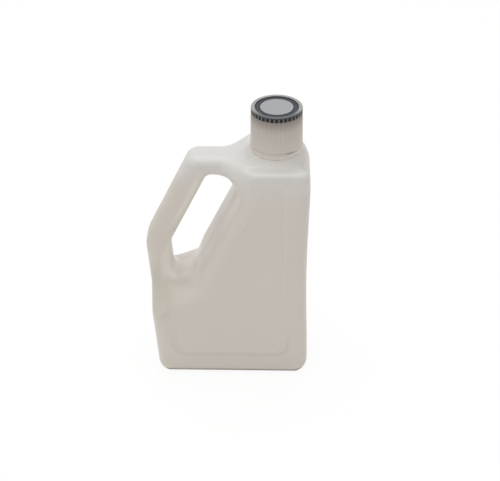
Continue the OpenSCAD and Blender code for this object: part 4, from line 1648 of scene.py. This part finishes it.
@dataclass
class Studio:
    """Pale floor, soft lamps, white surroundings and the camera of the photograph."""

    target: tuple[float, float, float] = (22.3, 0.0, 135.8)
    distance: float = 1300.0
    elevation: float = 33.8
    azimuth: float = 1.5
    roll: float = -0.3
    focal_pixels: float = 1300.0
    sensor: float = 36.0
    clip_end: float = 50.0
    ambient: float = 0.66
    ambient_colour: Colour = (1.0, 0.975, 0.95)
    floor_half: float = 4.5
    floor_steps: int = 8
    floor_drop: float = 0.0002
    floor_colour: Colour = (0.92, 0.90, 0.88)
    floor_rough: float = 0.8
    glow: float = 1.015
    glow_share: float = 0.9

    def camera(self) -> None:
        """Looks from the photograph's angle: lens = sensor width times focal pixels over picture width."""
        el, az, roll = (math.radians(v) for v in (self.elevation, self.azimuth, self.roll))
        back = Vector((math.sin(az) * math.cos(el), -math.cos(az) * math.cos(el), math.sin(el)))
        right = (-back).cross(Vector((0.0, 0.0, 1.0))).normalized()
        up = right.cross(-back)
        right, up = right * math.cos(roll) + up * math.sin(roll), up * math.cos(roll) - right * math.sin(roll)
        data = bpy.data.cameras.new("photo_camera")
        data.sensor_fit = "HORIZONTAL"
        data.sensor_width = self.sensor
        data.lens = self.sensor * self.focal_pixels / PHOTO_WIDTH
        data.clip_end = self.clip_end
        obj = bpy.data.objects.new("photo_camera", data)
        turn = Matrix((right, up, back)).transposed().to_4x4()
        obj.matrix_world = Matrix.Translation((Vector(self.target) + back * self.distance) * MM) @ turn
        bpy.context.scene.collection.objects.link(obj)
        bpy.context.scene.camera = obj

    def lamp(self, name: str, spot: tuple, aim: tuple, size: float, watts: float, colour: Colour) -> None:
        """Adds a square soft lamp.

        Args:
            name: Name of the lamp.
            spot: Its place in metres.
            aim: Point that it faces, in metres.
            size: Side of the square in metres.
            watts: Its power.
            colour: Its colour, linear.
        """
        data = bpy.data.lights.new(name, "AREA")
        data.size, data.energy, data.color = size, watts, colour
        obj = bpy.data.objects.new(name, data)
        obj.location = spot
        obj.rotation_euler = (Vector(aim) - Vector(spot)).to_track_quat("-Z", "Y").to_euler()
        bpy.context.scene.collection.objects.link(obj)

    @staticmethod
    def seen(sheet: NodeSheet) -> Socket:
        """1 for rays from the camera, a mirror or clear plastic, else 0."""
        path = sheet.add("ShaderNodeLightPath").outputs
        return sheet.most(path["Is Camera Ray"], path["Is Glossy Ray"], path["Is Transmission Ray"])

    def world(self) -> None:
        """White behind everything, softer as light on the object."""
        world = bpy.data.worlds.new("soft_room")
        world.use_nodes = True
        bpy.context.scene.world = world
        sheet = NodeSheet(world.node_tree)
        back = world.node_tree.nodes["Background"]
        shown = self.seen(sheet)
        sheet.feed(back.inputs["Color"], sheet.mix(shown, self.ambient_colour, (1.0, 1.0, 1.0)))
        sheet.feed(back.inputs["Strength"], sheet.plus(sheet.times(shown, 1.0 - self.ambient), self.ambient))

    def floor(self) -> None:
        """A wide pale floor that looks white to the camera and keeps the soft shadow."""
        n = self.floor_steps + 1
        side = np.linspace(-self.floor_half, self.floor_half, n)
        x, y = np.meshgrid(side, side)
        points = np.stack([x, y, np.full_like(x, -self.floor_drop)], -1).reshape(-1, 3)
        first = (np.arange(n - 1)[:, None] * n + np.arange(n - 1)).reshape(-1, 1)
        data = bpy.data.meshes.new("studio_floor")
        data.from_pydata(points.tolist(), [], (first + [0, 1, n + 1, n]).tolist())
        obj = bpy.data.objects.new("studio_floor", data)
        bpy.context.scene.collection.objects.link(obj)
        material = bpy.data.materials.new("pale_floor")
        material.use_nodes = True
        sheet, nodes = NodeSheet(material.node_tree), material.node_tree.nodes
        shader = nodes["Principled BSDF"]
        shader.inputs["Base Color"].default_value = (*self.floor_colour, 1.0)
        shader.inputs["Roughness"].default_value = self.floor_rough
        glow = sheet.add("ShaderNodeEmission", {"Color": (1.0, 1.0, 1.0, 1.0), "Strength": self.glow})
        share = sheet.times(self.seen(sheet), self.glow_share)
        blend = sheet.add("ShaderNodeMixShader", {0: share, 1: shader.outputs[0], 2: glow.outputs[0]})
        sheet.feed(nodes["Material Output"].inputs["Surface"], blend.outputs[0])
        data.materials.append(material)

    def build(self) -> None:
        """Sets the view transform and makes camera, lamps, world and floor."""
        bpy.context.scene.view_settings.view_transform = "Standard"
        self.camera()
        self.world()
        self.floor()
        self.lamp("top_lamp", spot=(-0.1, 0.3, 1.7), aim=(0.0, 0.0, 0.1), size=1.4, watts=12.6,
                  colour=(0.955, 0.98, 1.0))
        self.lamp("front_lamp", spot=(-0.7, -1.9, 1.1), aim=(0.0, 0.0, 0.12), size=1.3, watts=4.9,
                  colour=(1.0, 0.97, 0.94))


def main() -> None:
    """Builds the studio, the bottle and the closure in order."""
    logging.basicConfig(level=logging.INFO, format="%(name)s: %(message)s")
    Studio().build()
    bottle, band, cap, liner = BlownBottle(), TamperBand(), ScrewCap(), SealLiner()
    closure = RibbedClosure().material()
    bottle.dress(bottle.build(), MilkyShell())
    band.dress(band.build(), closure)
    cap.dress(cap.shell(), cap.cover_piece(), cap.disc_piece(), closure, SlateCover(), TurnedDisc())
    liner.dress(liner.build(), FoamWad())


if __name__ == "__main__":
    main()
